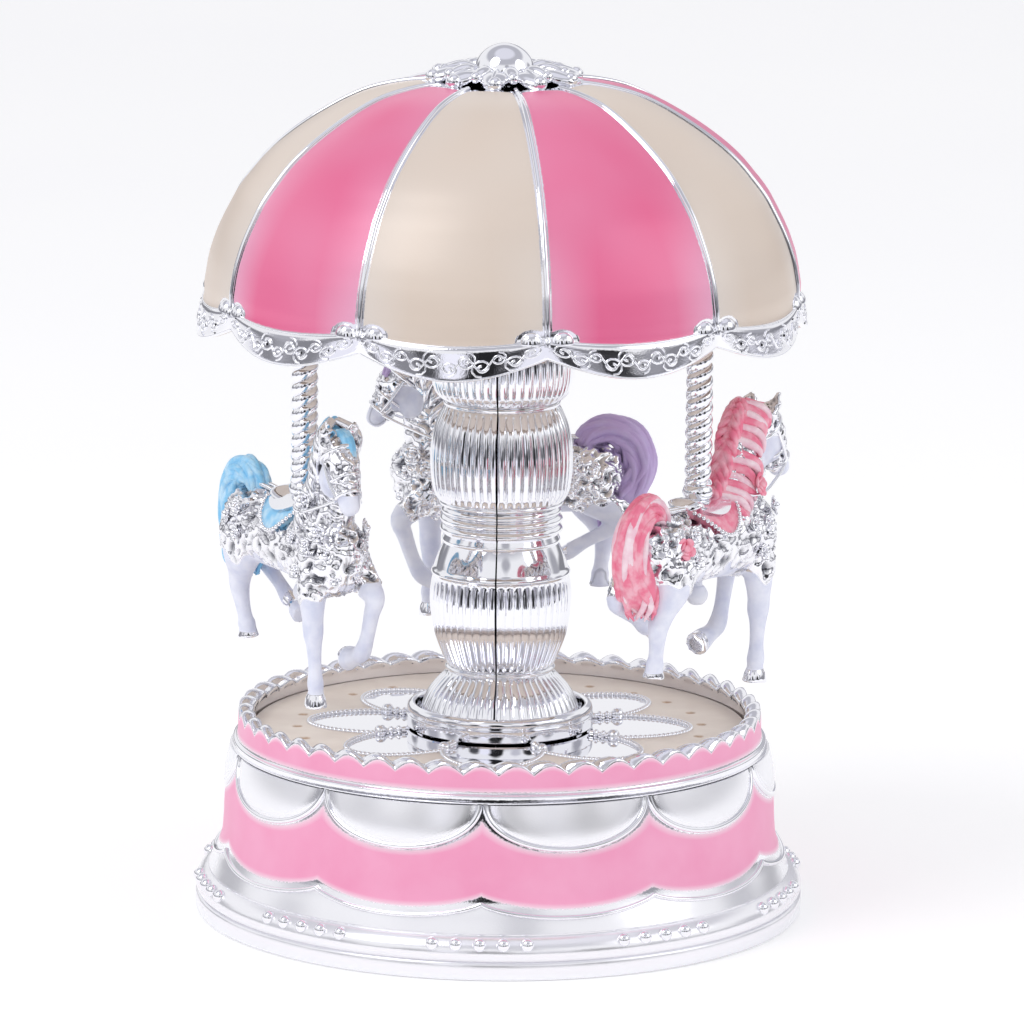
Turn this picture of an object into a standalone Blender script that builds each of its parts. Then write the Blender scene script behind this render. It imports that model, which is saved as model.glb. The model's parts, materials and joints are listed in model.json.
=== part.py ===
"""Carousel music box, wound by turning its top.

The base holds a spring-driven cylinder movement. The spring arbor rises through the deck and carries
the column, the roof, three barley-twist poles and three horses, which all turn together.

Shapes below are worked out in millimetres, with Z up and the base standing on z = 0, and become metres
when a mesh is made.
"""

import math

import bmesh
import bpy
from mathutils import Matrix, Vector

MM = 0.001
UP = Vector((0, 0, 1))

# ---- Driving dimensions, in millimetres ----------------------------------------------------------

FOOT_RADIUS = 54.0
GALLERY_RADIUS = 46.5
GALLERY_TOP = 36.4
DECK_TOP = 32.5
DECK_RADIUS = 43.9
WALL = 1.8
COVER_RADIUS = 49.0
COVER_BOTTOM = 2.0
COVER_TOP = 4.0
DECK_THICKNESS = 2.0
DECK_BORE = 4.0
DECK_POST_RADIUS = 2.6
LEDGE_DEPTH = 2.2  # how far the deck's ledge reaches in under it
CLEARANCE = 0.3  # between pieces that are fitted together by hand
BOSS_CIRCLE = 43.6
BOSS_RADIUS = 3.0
BOSS_TOP = 24.0
BOSS_ANGLES = (70.0, 190.0, 310.0)
COVER_SCREW_HOLE = 1.5
COVER_SCREW_HOLE_TOP = 16.0
SOUND_SLOTS = 5
SOUND_SLOT_STEP = 5.0
SOUND_SLOT_REACH = 14.0
COLLAR_INNER = 14.95
COLLAR_OUTER = 16.4
COLLAR_TOP = 37.0

COLUMN_BORE = 7.5
COLUMN_BOTTOM = 33.6
COLUMN_TOP = 106.6
COLUMN_STEPS = 11
HUB_BOTTOM = 33.8
HUB_TOP = 46.0
HUB_BORE = 1.6
SEAM_ANGLE = -94.0  # degrees from +X to the front seam of the column
SEAM_HALF_GAP = 0.7  # degrees

ROOF_HEM = 105.1
ROOF_HEM_RADIUS = 53.9
RECESS_FLOOR = 146.0  # where the roof screw's head sits, under the finial
GORES = 10
RIB_ANGLE = 26.4  # degrees from +X to the first rib
CEILING_BOTTOM = 107.6
CEILING_TOP = 109.6
CEILING_RADIUS = 48.4
SPIGOT_BOTTOM = 98.0
POST_TOP = 144.7  # the ceiling's middle post, under the roof screw
POST_BORE = 1.1
SOCKET_RADIUS = 4.2
FINIAL_RADIUS = 5.4
FINIAL_CENTRE = 148.6

POLE_CIRCLE = 39.5
POLE_RADIUS = 2.15
POLE_ANGLES = (90.0, 210.0, 330.0)
POLE_BOTTOM = 77.9
POLE_TOP = 113.6
POLE_BORE = 1.3
POLE_BORE_TOP = 86.0
POLE_SCREW_BORE = 0.75
POLE_SCREW_BORE_BOTTOM = 106.0
PIN_BALL_CENTRE = 60.7
PIN_BALL_RADIUS = 1.55
PIN_RADIUS = 1.0
PIN_TOP = 84.5
HORSE_SEAM_HALF_GAP = 0.15
HORSE_BORE = 1.35
HORSE_VOXEL = 0.75
HORSE_FACES_KEPT = 0.044

PLATE_BOTTOM = 26.3  # the movement hangs from this plate
PLATE_TOP = 28.3
ARBOR_RADIUS = 1.5
CROWN_TEETH = 45
CROWN_RADIUS = 14.5
PINION_TEETH = 15
CYLINDER_RADIUS = 6.5
CYLINDER_GEAR_TEETH = 40
GOVERNOR_PINION_TEETH = 10
GOVERNOR_MODULE = 0.33
WHEEL_TEETH = 24
WHEEL_MODULE = 0.45
WORM_PITCH_RADIUS = 2.0
TONES = 18
TONE_STEP = 0.95
CYLINDER_PINS = 28
PIN_TURN = 137.5  # degrees from one pin of the cylinder to the next
COMB_SCREW_Y = 20.2
MOVEMENT_SCREWS = ((-12.5, 12.5), (-12.5, -12.5), (26.0, -14.0))

# ---- Sizes that follow ---------------------------------------------------------------------------

CROWN_MODULE = 2 * CROWN_RADIUS / CROWN_TEETH
CROWN_PITCH_Z = 13.8
CYLINDER_Z = CROWN_PITCH_Z + CROWN_MODULE * PINION_TEETH / 2
CYLINDER_START = 17.8
CYLINDER_END = CYLINDER_START + TONE_STEP * TONES + 0.3
GOVERNOR_Y = -GOVERNOR_MODULE * (CYLINDER_GEAR_TEETH + GOVERNOR_PINION_TEETH) / 2
GEAR_X = 36.5
WHEEL_X = 38.4
WHEEL_WIDTH = 1.6
WORM_X = WHEEL_X + WHEEL_WIDTH / 2
WORM_Y = GOVERNOR_Y - WHEEL_MODULE * WHEEL_TEETH / 2 - WORM_PITCH_RADIUS
WORM_PITCH = math.pi * WHEEL_MODULE
POST_X = (15.95, 17.35)  # inner bearing post
END_POST_X = (40.8, 42.2)  # outer bearing post
POST_HALF_WIDTH = 2.6
RUNNING = 0.09  # radial clearance of a bearing
SCREW_PATH = 1.3  # radius of a hole that a movement screw passes or cuts its thread in
CYLINDER_ARBOR_RADIUS = 1.0
GOVERNOR_ARBOR_RADIUS = 0.7
WORM_ARBOR_RADIUS = 0.6
PRESSED = 0.05  # drawn gap between an arbor and the wheel pressed on it
WORM_TIP = 0.75  # height of the worm's thread over its root
WORM_ROOT = 1.5
WORM_LENGTH = 5.8
WORM_ARBOR_BOTTOM = 5.6
WORM_ARBOR_TOP = 24.6
FLY_BOTTOM = 6.0
FLY_TOP = 11.4
FLY_REACH = 3.4
BRACKET_SCREW_X = 33.4
BRACKET_SCREW_HOLE = 0.95
SPRING_TURNS = 5
SPRING_THICKNESS = 0.4
SPRING_BOTTOM = 16.5
SPRING_TOP = 25.4


# ---- Materials -----------------------------------------------------------------------------------


def finish(name, colour, roughness, metallic=0.0):
    """A Principled material of this sRGB colour."""
    material = bpy.data.materials.get(name)
    if material:
        return material
    material = bpy.data.materials.new(name)
    material.use_nodes = True
    shader = material.node_tree.nodes["Principled BSDF"]
    linear = [(channel / 255) ** 2.2 for channel in bytes.fromhex(colour)]
    shader.inputs["Base Color"].default_value = (*linear, 1)
    shader.inputs["Roughness"].default_value = roughness
    shader.inputs["Metallic"].default_value = metallic
    material.diffuse_color = (*linear, 1)
    return material


def chrome():
    return finish("vacuum_chrome", "E4E5E8", 0.08, 1.0)


def brass():
    return finish("brass", "C9A24A", 0.3, 1.0)


def steel():
    return finish("bright_steel", "B9BCC0", 0.28, 1.0)


def cast_zinc():
    return finish("die_cast_zinc", "A7A8A6", 0.45, 1.0)


def cream_plastic():
    return finish("cream_paint", "D9CBC0", 0.45)


def white_plastic():
    return finish("white_paint", "E4E6F5", 0.4)


# ---- Mesh tools ----------------------------------------------------------------------------------


def piece(name, mesh_maker, material, parent=None):
    """An object holding the bmesh, scaled from millimetres to metres, in the frame of its parent empty."""
    mesh_maker.transform(Matrix.Scale(MM, 4))
    bmesh.ops.recalc_face_normals(mesh_maker, faces=mesh_maker.faces)
    mesh = bpy.data.meshes.new(name)
    mesh_maker.to_mesh(mesh)
    mesh_maker.free()
    mesh.shade_smooth()
    mesh.set_sharp_from_angle(angle=math.radians(35))
    mesh.materials.append(material)
    made = bpy.data.objects.new(name, mesh)
    bpy.context.scene.collection.objects.link(made)
    made.parent = parent
    return made


def helper(name, mesh_maker, parent=None):
    """A cutter or a part of a union: it isn't a piece of the object."""
    made = piece(name, mesh_maker, chrome(), parent)
    made.hide_render = True
    made.display_type = "WIRE"
    return made


def combine(target, operation, other):
    """A Boolean of two objects that stays live on the target."""
    modifier = target.modifiers.new(operation.lower(), "BOOLEAN")
    modifier.operation = operation
    modifier.solver = "EXACT"
    modifier.use_self = True
    modifier.object = other
    return target


def empty(name, place, turn=(0, 0, 0)):
    """An empty on a joint's axis. Place in millimetres, turn in degrees."""
    made = bpy.data.objects.new(name, None)
    made.empty_display_size = 0.01
    made.location = Vector(place) * MM
    made.rotation_euler = [math.radians(angle) for angle in turn]
    bpy.context.scene.collection.objects.link(made)
    return made


def stitch(rings, maker, around=True, along=False):
    """Faces between rings of vertices. Around closes each ring, along joins the last ring to the first."""
    count = len(rings)
    for i in range(count if along else count - 1):
        lower, upper = rings[i], rings[(i + 1) % count]
        sides = len(lower) if len(lower) > 1 else len(upper)
        for k in range(sides if around else sides - 1):
            after = (k + 1) % sides
            if len(lower) == 1:
                corners = (lower[0], upper[after], upper[k])
            elif len(upper) == 1:
                corners = (lower[k], lower[after], upper[0])
            else:
                corners = (lower[k], lower[after], upper[after], upper[k])
            maker.faces.new(corners)


def turned(outline, steps=24, shape=None):
    """The closed (radius, z) outline turned about Z. Shape may move each point: shape(radius, z, angle)."""
    maker = bmesh.new()
    rings = []
    for radius, z in outline:
        ring = []
        for k in range(1 if radius == 0 else steps):
            angle = math.tau * k / steps + (math.radians(RIB_ANGLE) if shape else 0)
            r, height = shape(radius, z, angle) if shape else (radius, z)
            ring.append(maker.verts.new((r * math.cos(angle), r * math.sin(angle), height)))
        rings.append(ring)
    closed = outline[0][0] > 0
    stitch(rings, maker, along=closed)
    return maker


def turned_part(outline, steps, start, end):
    """The closed outline turned from one angle to another, in degrees, with flat ends."""
    maker = bmesh.new()
    slices = []
    for k in range(steps + 1):
        angle = math.radians(start + (end - start) * k / steps)
        slices.append([maker.verts.new((r * math.cos(angle), r * math.sin(angle), z)) for r, z in outline])
    stitch(slices, maker)
    maker.faces.new(slices[0])
    maker.faces.new(slices[-1])
    return maker


def prism(outline, bottom, top, twist=0.0):
    """The (x, y) outline raised from bottom to top, its upper end turned by twist radians."""
    maker = bmesh.new()
    lower = [maker.verts.new((x, y, bottom)) for x, y in outline]
    turn = Matrix.Rotation(twist, 2)
    upper = [maker.verts.new((*(turn @ Vector((x, y))), top)) for x, y in outline]
    maker.faces.new(lower)
    maker.faces.new(upper)
    stitch([lower, upper], maker)
    return maker


def box(low, high):
    outline = [(low[0], low[1]), (high[0], low[1]), (high[0], high[1]), (low[0], high[1])]
    return prism(outline, low[2], high[2])


def circle(radius, steps=16, centre=(0, 0)):
    angles = [math.tau * k / steps for k in range(steps)]
    return [(centre[0] + radius * math.cos(a), centre[1] + radius * math.sin(a)) for a in angles]


def rod(radius, start, end, steps=16):
    """A round bar between two points."""
    start, end = Vector(start), Vector(end)
    maker = prism(circle(radius, steps), 0, (end - start).length)
    turn = UP.rotation_difference((end - start).normalized()).to_matrix().to_4x4()
    maker.transform(Matrix.Translation(start) @ turn)
    return maker


def ball(centre, radius, levels=1):
    maker = bmesh.new()
    bmesh.ops.create_icosphere(maker, subdivisions=levels, radius=radius, matrix=Matrix.Translation(centre))
    return maker


def together(makers):
    """Several meshes as one, for a Boolean or a remesh to fuse."""
    whole = bmesh.new()
    for maker in makers:
        mesh = bpy.data.meshes.new("part of a piece")
        maker.to_mesh(mesh)
        maker.free()
        whole.from_mesh(mesh)
        bpy.data.meshes.remove(mesh)
    return whole


def smooth(points, per_span=3):
    """Points along a smooth curve through the given (radius, z) points."""
    ends = [points[0], *points, points[-1]]
    found = []
    for a, b, c, d in zip(ends, ends[1:], ends[2:], ends[3:]):
        for step in range(per_span):
            t = step / per_span
            place = []
            for p, q, r, s in zip(a, b, c, d):
                square = 2 * p - 5 * q + 4 * r - s
                cube = 3 * q - p - 3 * r + s
                place.append(0.5 * (2 * q + (r - p) * t + square * t**2 + cube * t**3))
            found.append(tuple(place))
    found.append(tuple(points[-1]))
    return found


def on_circle(radius, degrees, z=0.0):
    angle = math.radians(degrees)
    return Vector((radius * math.cos(angle), radius * math.sin(angle), z))


def screw(name, place, head_radius, head_height, shaft_radius, length, up, parent=None, steps=8):
    """A round-head screw. The place is under its head, and up is +1 when its shaft points up."""
    outline = [
        (0, -head_height),
        (head_radius * 0.8, -head_height),
        (head_radius, -head_height * 0.6),
        (head_radius, 0),
        (shaft_radius, 0),
        (shaft_radius, length),
        (0, length),
    ]
    made = piece(name, turned([(r, z * up) for r, z in outline], steps), steel(), parent)
    made.location = Vector(place) * MM
    return made


# ---- Base ----------------------------------------------------------------------------------------


def base_shell():
    outer = smooth([(GALLERY_RADIUS, GALLERY_TOP), (46.8, 30.5), (48.6, 22.0), (49.4, 13.3)], 1)
    foot = smooth([(51.0, 10.0), (53.1, 7.0), (FOOT_RADIUS, 4.2)], 2)
    inner = [
        (COVER_RADIUS + 0.6, 0.0),
        (COVER_RADIUS + 0.6, COVER_TOP + CLEARANCE),
        (49.4 - WALL, 9.0),
        (48.6 - WALL, 22.0),
        (46.8 - WALL, 28.2),
        (DECK_RADIUS - LEDGE_DEPTH, 28.6),
        (DECK_RADIUS - LEDGE_DEPTH, DECK_TOP - DECK_THICKNESS - CLEARANCE),
        (DECK_RADIUS + CLEARANCE, DECK_TOP - DECK_THICKNESS - CLEARANCE),
        (DECK_RADIUS + CLEARANCE, GALLERY_TOP - 0.6),
        (GALLERY_RADIUS - 1.2, GALLERY_TOP),
    ]
    shell = piece("base_shell", turned(outer + foot + [(FOOT_RADIUS - 0.2, 0.0)] + inner, 40), chrome())
    bosses = []
    holes = []
    for angle in BOSS_ANGLES:
        foot_of_boss = on_circle(BOSS_CIRCLE, angle, COVER_TOP + CLEARANCE)
        bosses.append(rod(BOSS_RADIUS, foot_of_boss, on_circle(BOSS_CIRCLE, angle, BOSS_TOP), 10))
        end = on_circle(BOSS_CIRCLE, angle, COVER_SCREW_HOLE_TOP)
        holes.append(rod(COVER_SCREW_HOLE, on_circle(BOSS_CIRCLE, angle), end, 8))
    combine(shell, "UNION", helper("cover bosses", together(bosses)))
    combine(shell, "DIFFERENCE", helper("boss holes", together(holes)))


def deck_plate():
    outline = [
        (DECK_RADIUS, DECK_TOP),
        (DECK_RADIUS, DECK_TOP - DECK_THICKNESS),
        (DECK_BORE, DECK_TOP - DECK_THICKNESS),
        (DECK_BORE, DECK_TOP),
    ]
    plate = piece("deck_plate", turned(outline, 40), cream_plastic())
    posts = [rod(DECK_POST_RADIUS, (x, y, PLATE_TOP + CLEARANCE), (x, y, DECK_TOP - 1.0), 10)
             for x, y in MOVEMENT_SCREWS]
    combine(plate, "UNION", helper("deck posts", together(posts)))
    holes = [rod(SCREW_PATH, (x, y, PLATE_TOP - 1), (x, y, DECK_TOP - 0.8), 8) for x, y in MOVEMENT_SCREWS]
    combine(plate, "DIFFERENCE", helper("deck post holes", together(holes)))


def deck_collar():
    bottom, shoulder = DECK_TOP + CLEARANCE, COLLAR_TOP - 0.6
    outline = [
        (COLLAR_INNER, bottom),
        (COLLAR_OUTER, bottom),
        (COLLAR_OUTER, shoulder),
        (COLLAR_OUTER - 0.5, COLLAR_TOP),
        (COLLAR_OUTER - 1.0, COLLAR_TOP),
        (COLLAR_INNER, shoulder),
    ]
    piece("deck_collar", turned(outline[::-1], 28), chrome())


def bottom_cover():
    outline = [(0, COVER_TOP), (COVER_RADIUS, COVER_TOP), (COVER_RADIUS, COVER_BOTTOM), (0, COVER_BOTTOM)]
    cover = piece("bottom_cover", turned(outline, 40), white_plastic())
    above = 2 * COVER_TOP
    cutters = [rod(COVER_SCREW_HOLE, on_circle(BOSS_CIRCLE, a), on_circle(BOSS_CIRCLE, a, above), 8)
               for a in BOSS_ANGLES]
    for k in range(SOUND_SLOTS):
        row = k - (SOUND_SLOTS - 1) // 2
        reach, middle = SOUND_SLOT_REACH - abs(row), SOUND_SLOT_STEP * row
        cutters.append(box((-reach, middle - 1, 0), (reach, middle + 1, above)))
    combine(cover, "DIFFERENCE", helper("cover openings", together(cutters)))
    for number, angle in enumerate(BOSS_ANGLES, 1):
        place = on_circle(BOSS_CIRCLE, angle, COVER_BOTTOM - CLEARANCE)
        screw(f"cover_screw_{number}", place, 2.6, 1.2, 1.15, 12.0, 1)


# ---- Movement ------------------------------------------------------------------------------------


def tooth_outline(teeth, module, tooth_width, addendum, dedendum, tip_width):
    """A spur gear's outline, with widths as fractions of the tooth pitch."""
    pitch_radius = module * teeth / 2
    step = math.tau / teeth
    corners = []
    for k in range(teeth):
        centre = k * step
        for offset, radius in (
            (-tooth_width * 0.62, pitch_radius - dedendum),
            (-tip_width / 2, pitch_radius + addendum),
            (tip_width / 2, pitch_radius + addendum),
            (tooth_width * 0.62, pitch_radius - dedendum),
        ):
            angle = centre + offset * step
            corners.append((radius * math.cos(angle), radius * math.sin(angle)))
    return corners


def bored(made, radius, low, high, parent, steps=16):
    """A hole through a piece along its own Z."""
    name = made.name.replace("_", " ") + " bore"
    return combine(made, "DIFFERENCE", helper(name, rod(radius, (0, 0, low), (0, 0, high), steps), parent))


def movement_bedplate():
    outline = [(-17, -10), (-10, -17), (30, -20), (38, -20), (41, -14), (42.6, -6), (42.6, 4), (36, 22.5),
               (33, 25.5), (14, 25.5), (-10, 17), (-17, 10)]
    plate = piece("movement_bedplate", prism(outline, PLATE_BOTTOM, PLATE_TOP), cast_zinc())
    low = CYLINDER_Z - POST_HALF_WIDTH
    posts = [
        box((POST_X[0], -POST_HALF_WIDTH, low), (POST_X[1], POST_HALF_WIDTH, PLATE_BOTTOM + 1)),
        box((END_POST_X[0], GOVERNOR_Y - 2.2, low), (END_POST_X[1], POST_HALF_WIDTH, PLATE_BOTTOM + 1)),
        box((CYLINDER_START, 17.0, CYLINDER_Z + 0.9), (CYLINDER_END, 23.5, PLATE_BOTTOM + 1)),
    ]
    combine(plate, "UNION", helper("bearing posts", together(posts)))
    holes = [
        rod(ARBOR_RADIUS + RUNNING, (0, 0, 20), (0, 0, 30), 20),
        rod(CYLINDER_ARBOR_RADIUS + RUNNING, (10, 0, CYLINDER_Z), (44, 0, CYLINDER_Z)),
        rod(GOVERNOR_ARBOR_RADIUS + RUNNING, (39, GOVERNOR_Y, CYLINDER_Z), (44, GOVERNOR_Y, CYLINDER_Z)),
        *[rod(SCREW_PATH, (x, y, 20), (x, y, 30), 8) for x, y in MOVEMENT_SCREWS],
        *[rod(0.9, (x, COMB_SCREW_Y, CYLINDER_Z - 1), (x, COMB_SCREW_Y, 25), 8)
          for x in comb_screw_places()],
    ]
    for number, cutter in enumerate(holes, 1):
        combine(plate, "DIFFERENCE", helper(f"bedplate hole {number}", cutter))
    for number, (x, y) in enumerate(MOVEMENT_SCREWS, 1):
        screw(f"movement_screw_{number}", (x, y, PLATE_BOTTOM - CLEARANCE), 2.2, 1.2, 1.0, 5.0, 1)


def spring_drive(axis):
    """Spring housing, mainspring, arbor and crown gear, about the carousel's axis."""
    housing = [(12.8, 26.0), (12.8, 15.2), (1.9, 15.2), (1.9, 16.0), (12.0, 16.0), (12.0, 26.0)]
    piece("spring_housing", turned(housing, 24), brass())
    maker = bmesh.new()
    sections = []
    per_turn = 12
    steps = SPRING_TURNS * per_turn
    for k in range(steps + 1):
        angle = math.tau * k / per_turn
        radius = 2.2 + 9.0 * k / steps
        outer = radius + SPRING_THICKNESS
        low, high = SPRING_BOTTOM, SPRING_TOP
        corners = ((radius, low), (outer, low), (outer, high), (radius, high))
        x, y = math.cos(angle), math.sin(angle)
        sections.append([maker.verts.new((r * x, r * y, z)) for r, z in corners])
    stitch(sections, maker)
    maker.faces.new(sections[0])
    maker.faces.new(sections[-1])
    piece("mainspring", maker, steel())

    arbor = [(0, 44.0), (ARBOR_RADIUS, 44.0), (ARBOR_RADIUS, 11.4), (0, 11.4)]
    piece("spring_arbor", turned(arbor, 16), steel(), axis)
    disc = [(15.7, 13.05), (15.7, 12.2), (1.6, 12.2), (1.6, 14.6), (3.2, 14.6), (3.2, 13.2), (13.3, 13.05)]
    gear = piece("crown_gear", turned(disc, 24), brass(), axis)
    teeth = []
    step = math.tau / CROWN_TEETH
    for k in range(CROWN_TEETH):
        centre = (k + 0.5) * step
        tooth = bmesh.new()
        rows = []
        for radius in (13.4, 15.6):
            row = [(-0.19, 12.8), (0.19, 12.8), (0.09, 14.3), (-0.09, 14.3)]
            corners = [on_circle(radius, math.degrees(centre + part * step), z) for part, z in row]
            rows.append([tooth.verts.new(corner) for corner in corners])
        stitch(rows, tooth)
        tooth.faces.new(rows[0])
        tooth.faces.new(rows[1])
        teeth.append(tooth)
    combine(gear, "UNION", helper("crown teeth", together(teeth), axis))


def comb_screw_places():
    return CYLINDER_START + 4.0, CYLINDER_END - 4.0


def comb():
    """The tuned comb: one steel plate with a tooth for each tone."""
    outline = [(CYLINDER_END, 23.5), (CYLINDER_START, 23.5)]
    for k in range(TONES):
        start = CYLINDER_START + 0.15 + k * TONE_STEP
        end = start + TONE_STEP - 0.25
        outline += [(start, 15.5), (start + 0.1, 7.2), (end - 0.1, 7.2), (end, 15.5)]
    made = piece("comb", prism(outline, CYLINDER_Z - 0.6, CYLINDER_Z + 0.6), steel())
    holes = [rod(1.1, (x, COMB_SCREW_Y, 10), (x, COMB_SCREW_Y, 22), 8) for x in comb_screw_places()]
    combine(made, "DIFFERENCE", helper("comb holes", together(holes)))
    for number, x in enumerate(comb_screw_places(), 1):
        screw(f"comb_screw_{number}", (x, COMB_SCREW_Y, CYLINDER_Z - 0.9), 1.9, 1.0, 0.75, 5.5, 1)


def cylinder_train(axis):
    """Pinned cylinder with its arbor, pinion and gear. The axis empty's local Z runs along world +X."""
    arbor = rod(CYLINDER_ARBOR_RADIUS, (0, 0, 12.9), (0, 0, END_POST_X[1] + 0.6))
    piece("cylinder_arbor", arbor, steel(), axis)
    drum = [(CYLINDER_RADIUS, CYLINDER_END), (CYLINDER_RADIUS, CYLINDER_START), (1.15, CYLINDER_START),
            (1.15, CYLINDER_END)]
    made = piece("pin_cylinder", turned(drum, 24), brass(), axis)
    pins = []
    for k in range(CYLINDER_PINS):
        tone = k * 7 % TONES
        angle = PIN_TURN * k
        along = CYLINDER_START + 0.15 + (tone + 0.35) * TONE_STEP
        pins.append(rod(0.16, on_circle(6.0, angle, along), on_circle(6.85, angle, along), 4))
    combine(made, "UNION", helper("cylinder pins", together(pins), axis))

    outline = tooth_outline(PINION_TEETH, CROWN_MODULE, 0.34, 0.55, 0.75, 0.16)
    pinion = piece("cylinder_pinion", prism(outline, 13.5, 15.5), brass(), axis)
    bored(pinion, CYLINDER_ARBOR_RADIUS + PRESSED, 13, 16, axis)
    outline = tooth_outline(CYLINDER_GEAR_TEETH, GOVERNOR_MODULE, 0.32, 0.3, 0.42, 0.16)
    gear = piece("cylinder_gear", prism(outline, GEAR_X, GEAR_X + 1.2), brass(), axis)
    bored(gear, CYLINDER_ARBOR_RADIUS + PRESSED, GEAR_X - 1, GEAR_X + 2, axis)


def governor_train(axis):
    """Governor wheel and pinion on one arbor, whose local Z runs along world +X."""
    arbor = rod(GOVERNOR_ARBOR_RADIUS, (0, 0, 34.9), (0, 0, END_POST_X[1] + 0.5), 12)
    piece("governor_arbor", arbor, steel(), axis)
    outline = tooth_outline(GOVERNOR_PINION_TEETH, GOVERNOR_MODULE, 0.32, 0.28, 0.42, 0.16)
    pinion = piece("governor_pinion", prism(outline, GEAR_X, GEAR_X + 1.2), brass(), axis)
    bored(pinion, GOVERNOR_ARBOR_RADIUS + PRESSED, GEAR_X - 1, GEAR_X + 2, axis, 12)
    lead = math.atan(WORM_PITCH / (math.tau * WORM_PITCH_RADIUS))
    twist = WHEEL_WIDTH * math.tan(lead) / (WHEEL_MODULE * WHEEL_TEETH / 2)
    outline = tooth_outline(WHEEL_TEETH, WHEEL_MODULE, 0.3, 0.35, 0.55, 0.14)
    low, high = WHEEL_X, WHEEL_X + WHEEL_WIDTH
    maker = prism(outline, low, high, twist)
    maker.transform(Matrix.Rotation(-twist / 2, 4, "Z"))
    wheel = piece("governor_wheel", maker, brass(), axis)
    bored(wheel, GOVERNOR_ARBOR_RADIUS + PRESSED, low - 1, high + 1, axis, 12)


def worm_and_fly(axis):
    """The worm on its upright arbor, and the air fly under it. Z is world height."""
    steps, per_turn = 12, 6
    rows = round(WORM_LENGTH / WORM_PITCH * per_turn)
    low = CYLINDER_Z - rows / per_turn * WORM_PITCH / 2
    maker = bmesh.new()
    rings = [[maker.verts.new((0, 0, WORM_ARBOR_BOTTOM))]]
    for z in (WORM_ARBOR_BOTTOM, low - 0.4):
        rings.append([maker.verts.new((x, y, z)) for x, y in circle(WORM_ARBOR_RADIUS, steps)])
    for row in range(rows + 1):
        z = low + row * WORM_PITCH / per_turn
        ring = []
        for k in range(steps):
            turn = ((z - CYLINDER_Z) / WORM_PITCH - k / steps + 0.25) % 1
            crest = 1 if abs(turn - 0.5) < 0.1 else 0
            radius = WORM_ROOT + WORM_TIP * crest * (0 < row < rows)
            angle = math.tau * k / steps
            ring.append(maker.verts.new((radius * math.cos(angle), radius * math.sin(angle), z)))
        rings.append(ring)
    high = low + rows * WORM_PITCH / per_turn
    for z in (high + 0.4, WORM_ARBOR_TOP):
        rings.append([maker.verts.new((x, y, z)) for x, y in circle(WORM_ARBOR_RADIUS, steps)])
    rings.append([maker.verts.new((0, 0, WORM_ARBOR_TOP))])
    stitch(rings, maker)
    piece("governor_worm", maker, steel(), axis)

    sheet = box((-FLY_REACH, -0.25, FLY_BOTTOM), (FLY_REACH, 0.25, FLY_TOP))
    blade = piece("fly_blade", sheet, steel(), axis)
    hub = rod(1.2, (0, 0, FLY_BOTTOM - 0.1), (0, 0, FLY_TOP + 0.1), 10)
    combine(blade, "UNION", helper("fly hub", hub, axis))
    bored(blade, 0.7, 5, 12.5, axis, 10)


def governor_bracket():
    """The plate and two lugs that hold the governor arbor's inner end and the worm."""
    low, high = WORM_Y - 2.6, WORM_Y + 2.3
    top = PLATE_BOTTOM - CLEARANCE
    bracket = piece("governor_bracket", box((35.2, low, 12.4), (36.0, GOVERNOR_Y + 1.6, top)), brass())
    shapes = [
        box((35.4, low, 12.4), (WORM_X + 1.8, high, 13.6)),
        box((35.4, low, 23.0), (WORM_X + 1.8, high, 24.2)),
        box((31.6, low, 25.1), (35.6, high + 1.5, top)),
    ]
    combine(bracket, "UNION", helper("governor lugs", together(shapes)))
    holes = [
        rod(WORM_ARBOR_RADIUS + RUNNING, (WORM_X, WORM_Y, 10), (WORM_X, WORM_Y, 30), 12),
        rod(GOVERNOR_ARBOR_RADIUS + RUNNING, (33, GOVERNOR_Y, CYLINDER_Z), (38, GOVERNOR_Y, CYLINDER_Z)),
        rod(BRACKET_SCREW_HOLE, (BRACKET_SCREW_X, WORM_Y, 20), (BRACKET_SCREW_X, WORM_Y, 30), 8),
    ]
    for number, cutter in enumerate(holes, 1):
        combine(bracket, "DIFFERENCE", helper(f"governor hole {number}", cutter))
    tapped = rod(BRACKET_SCREW_HOLE, (BRACKET_SCREW_X, WORM_Y, 24), (BRACKET_SCREW_X, WORM_Y, 30), 8)
    combine(bpy.data.objects["movement_bedplate"], "DIFFERENCE", helper("governor screw hole", tapped))
    screw("governor_screw", (BRACKET_SCREW_X, WORM_Y, 24.8), 1.7, 0.9, 0.7, 3.0, 1)


# ---- Column and roof -----------------------------------------------------------------------------


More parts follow.
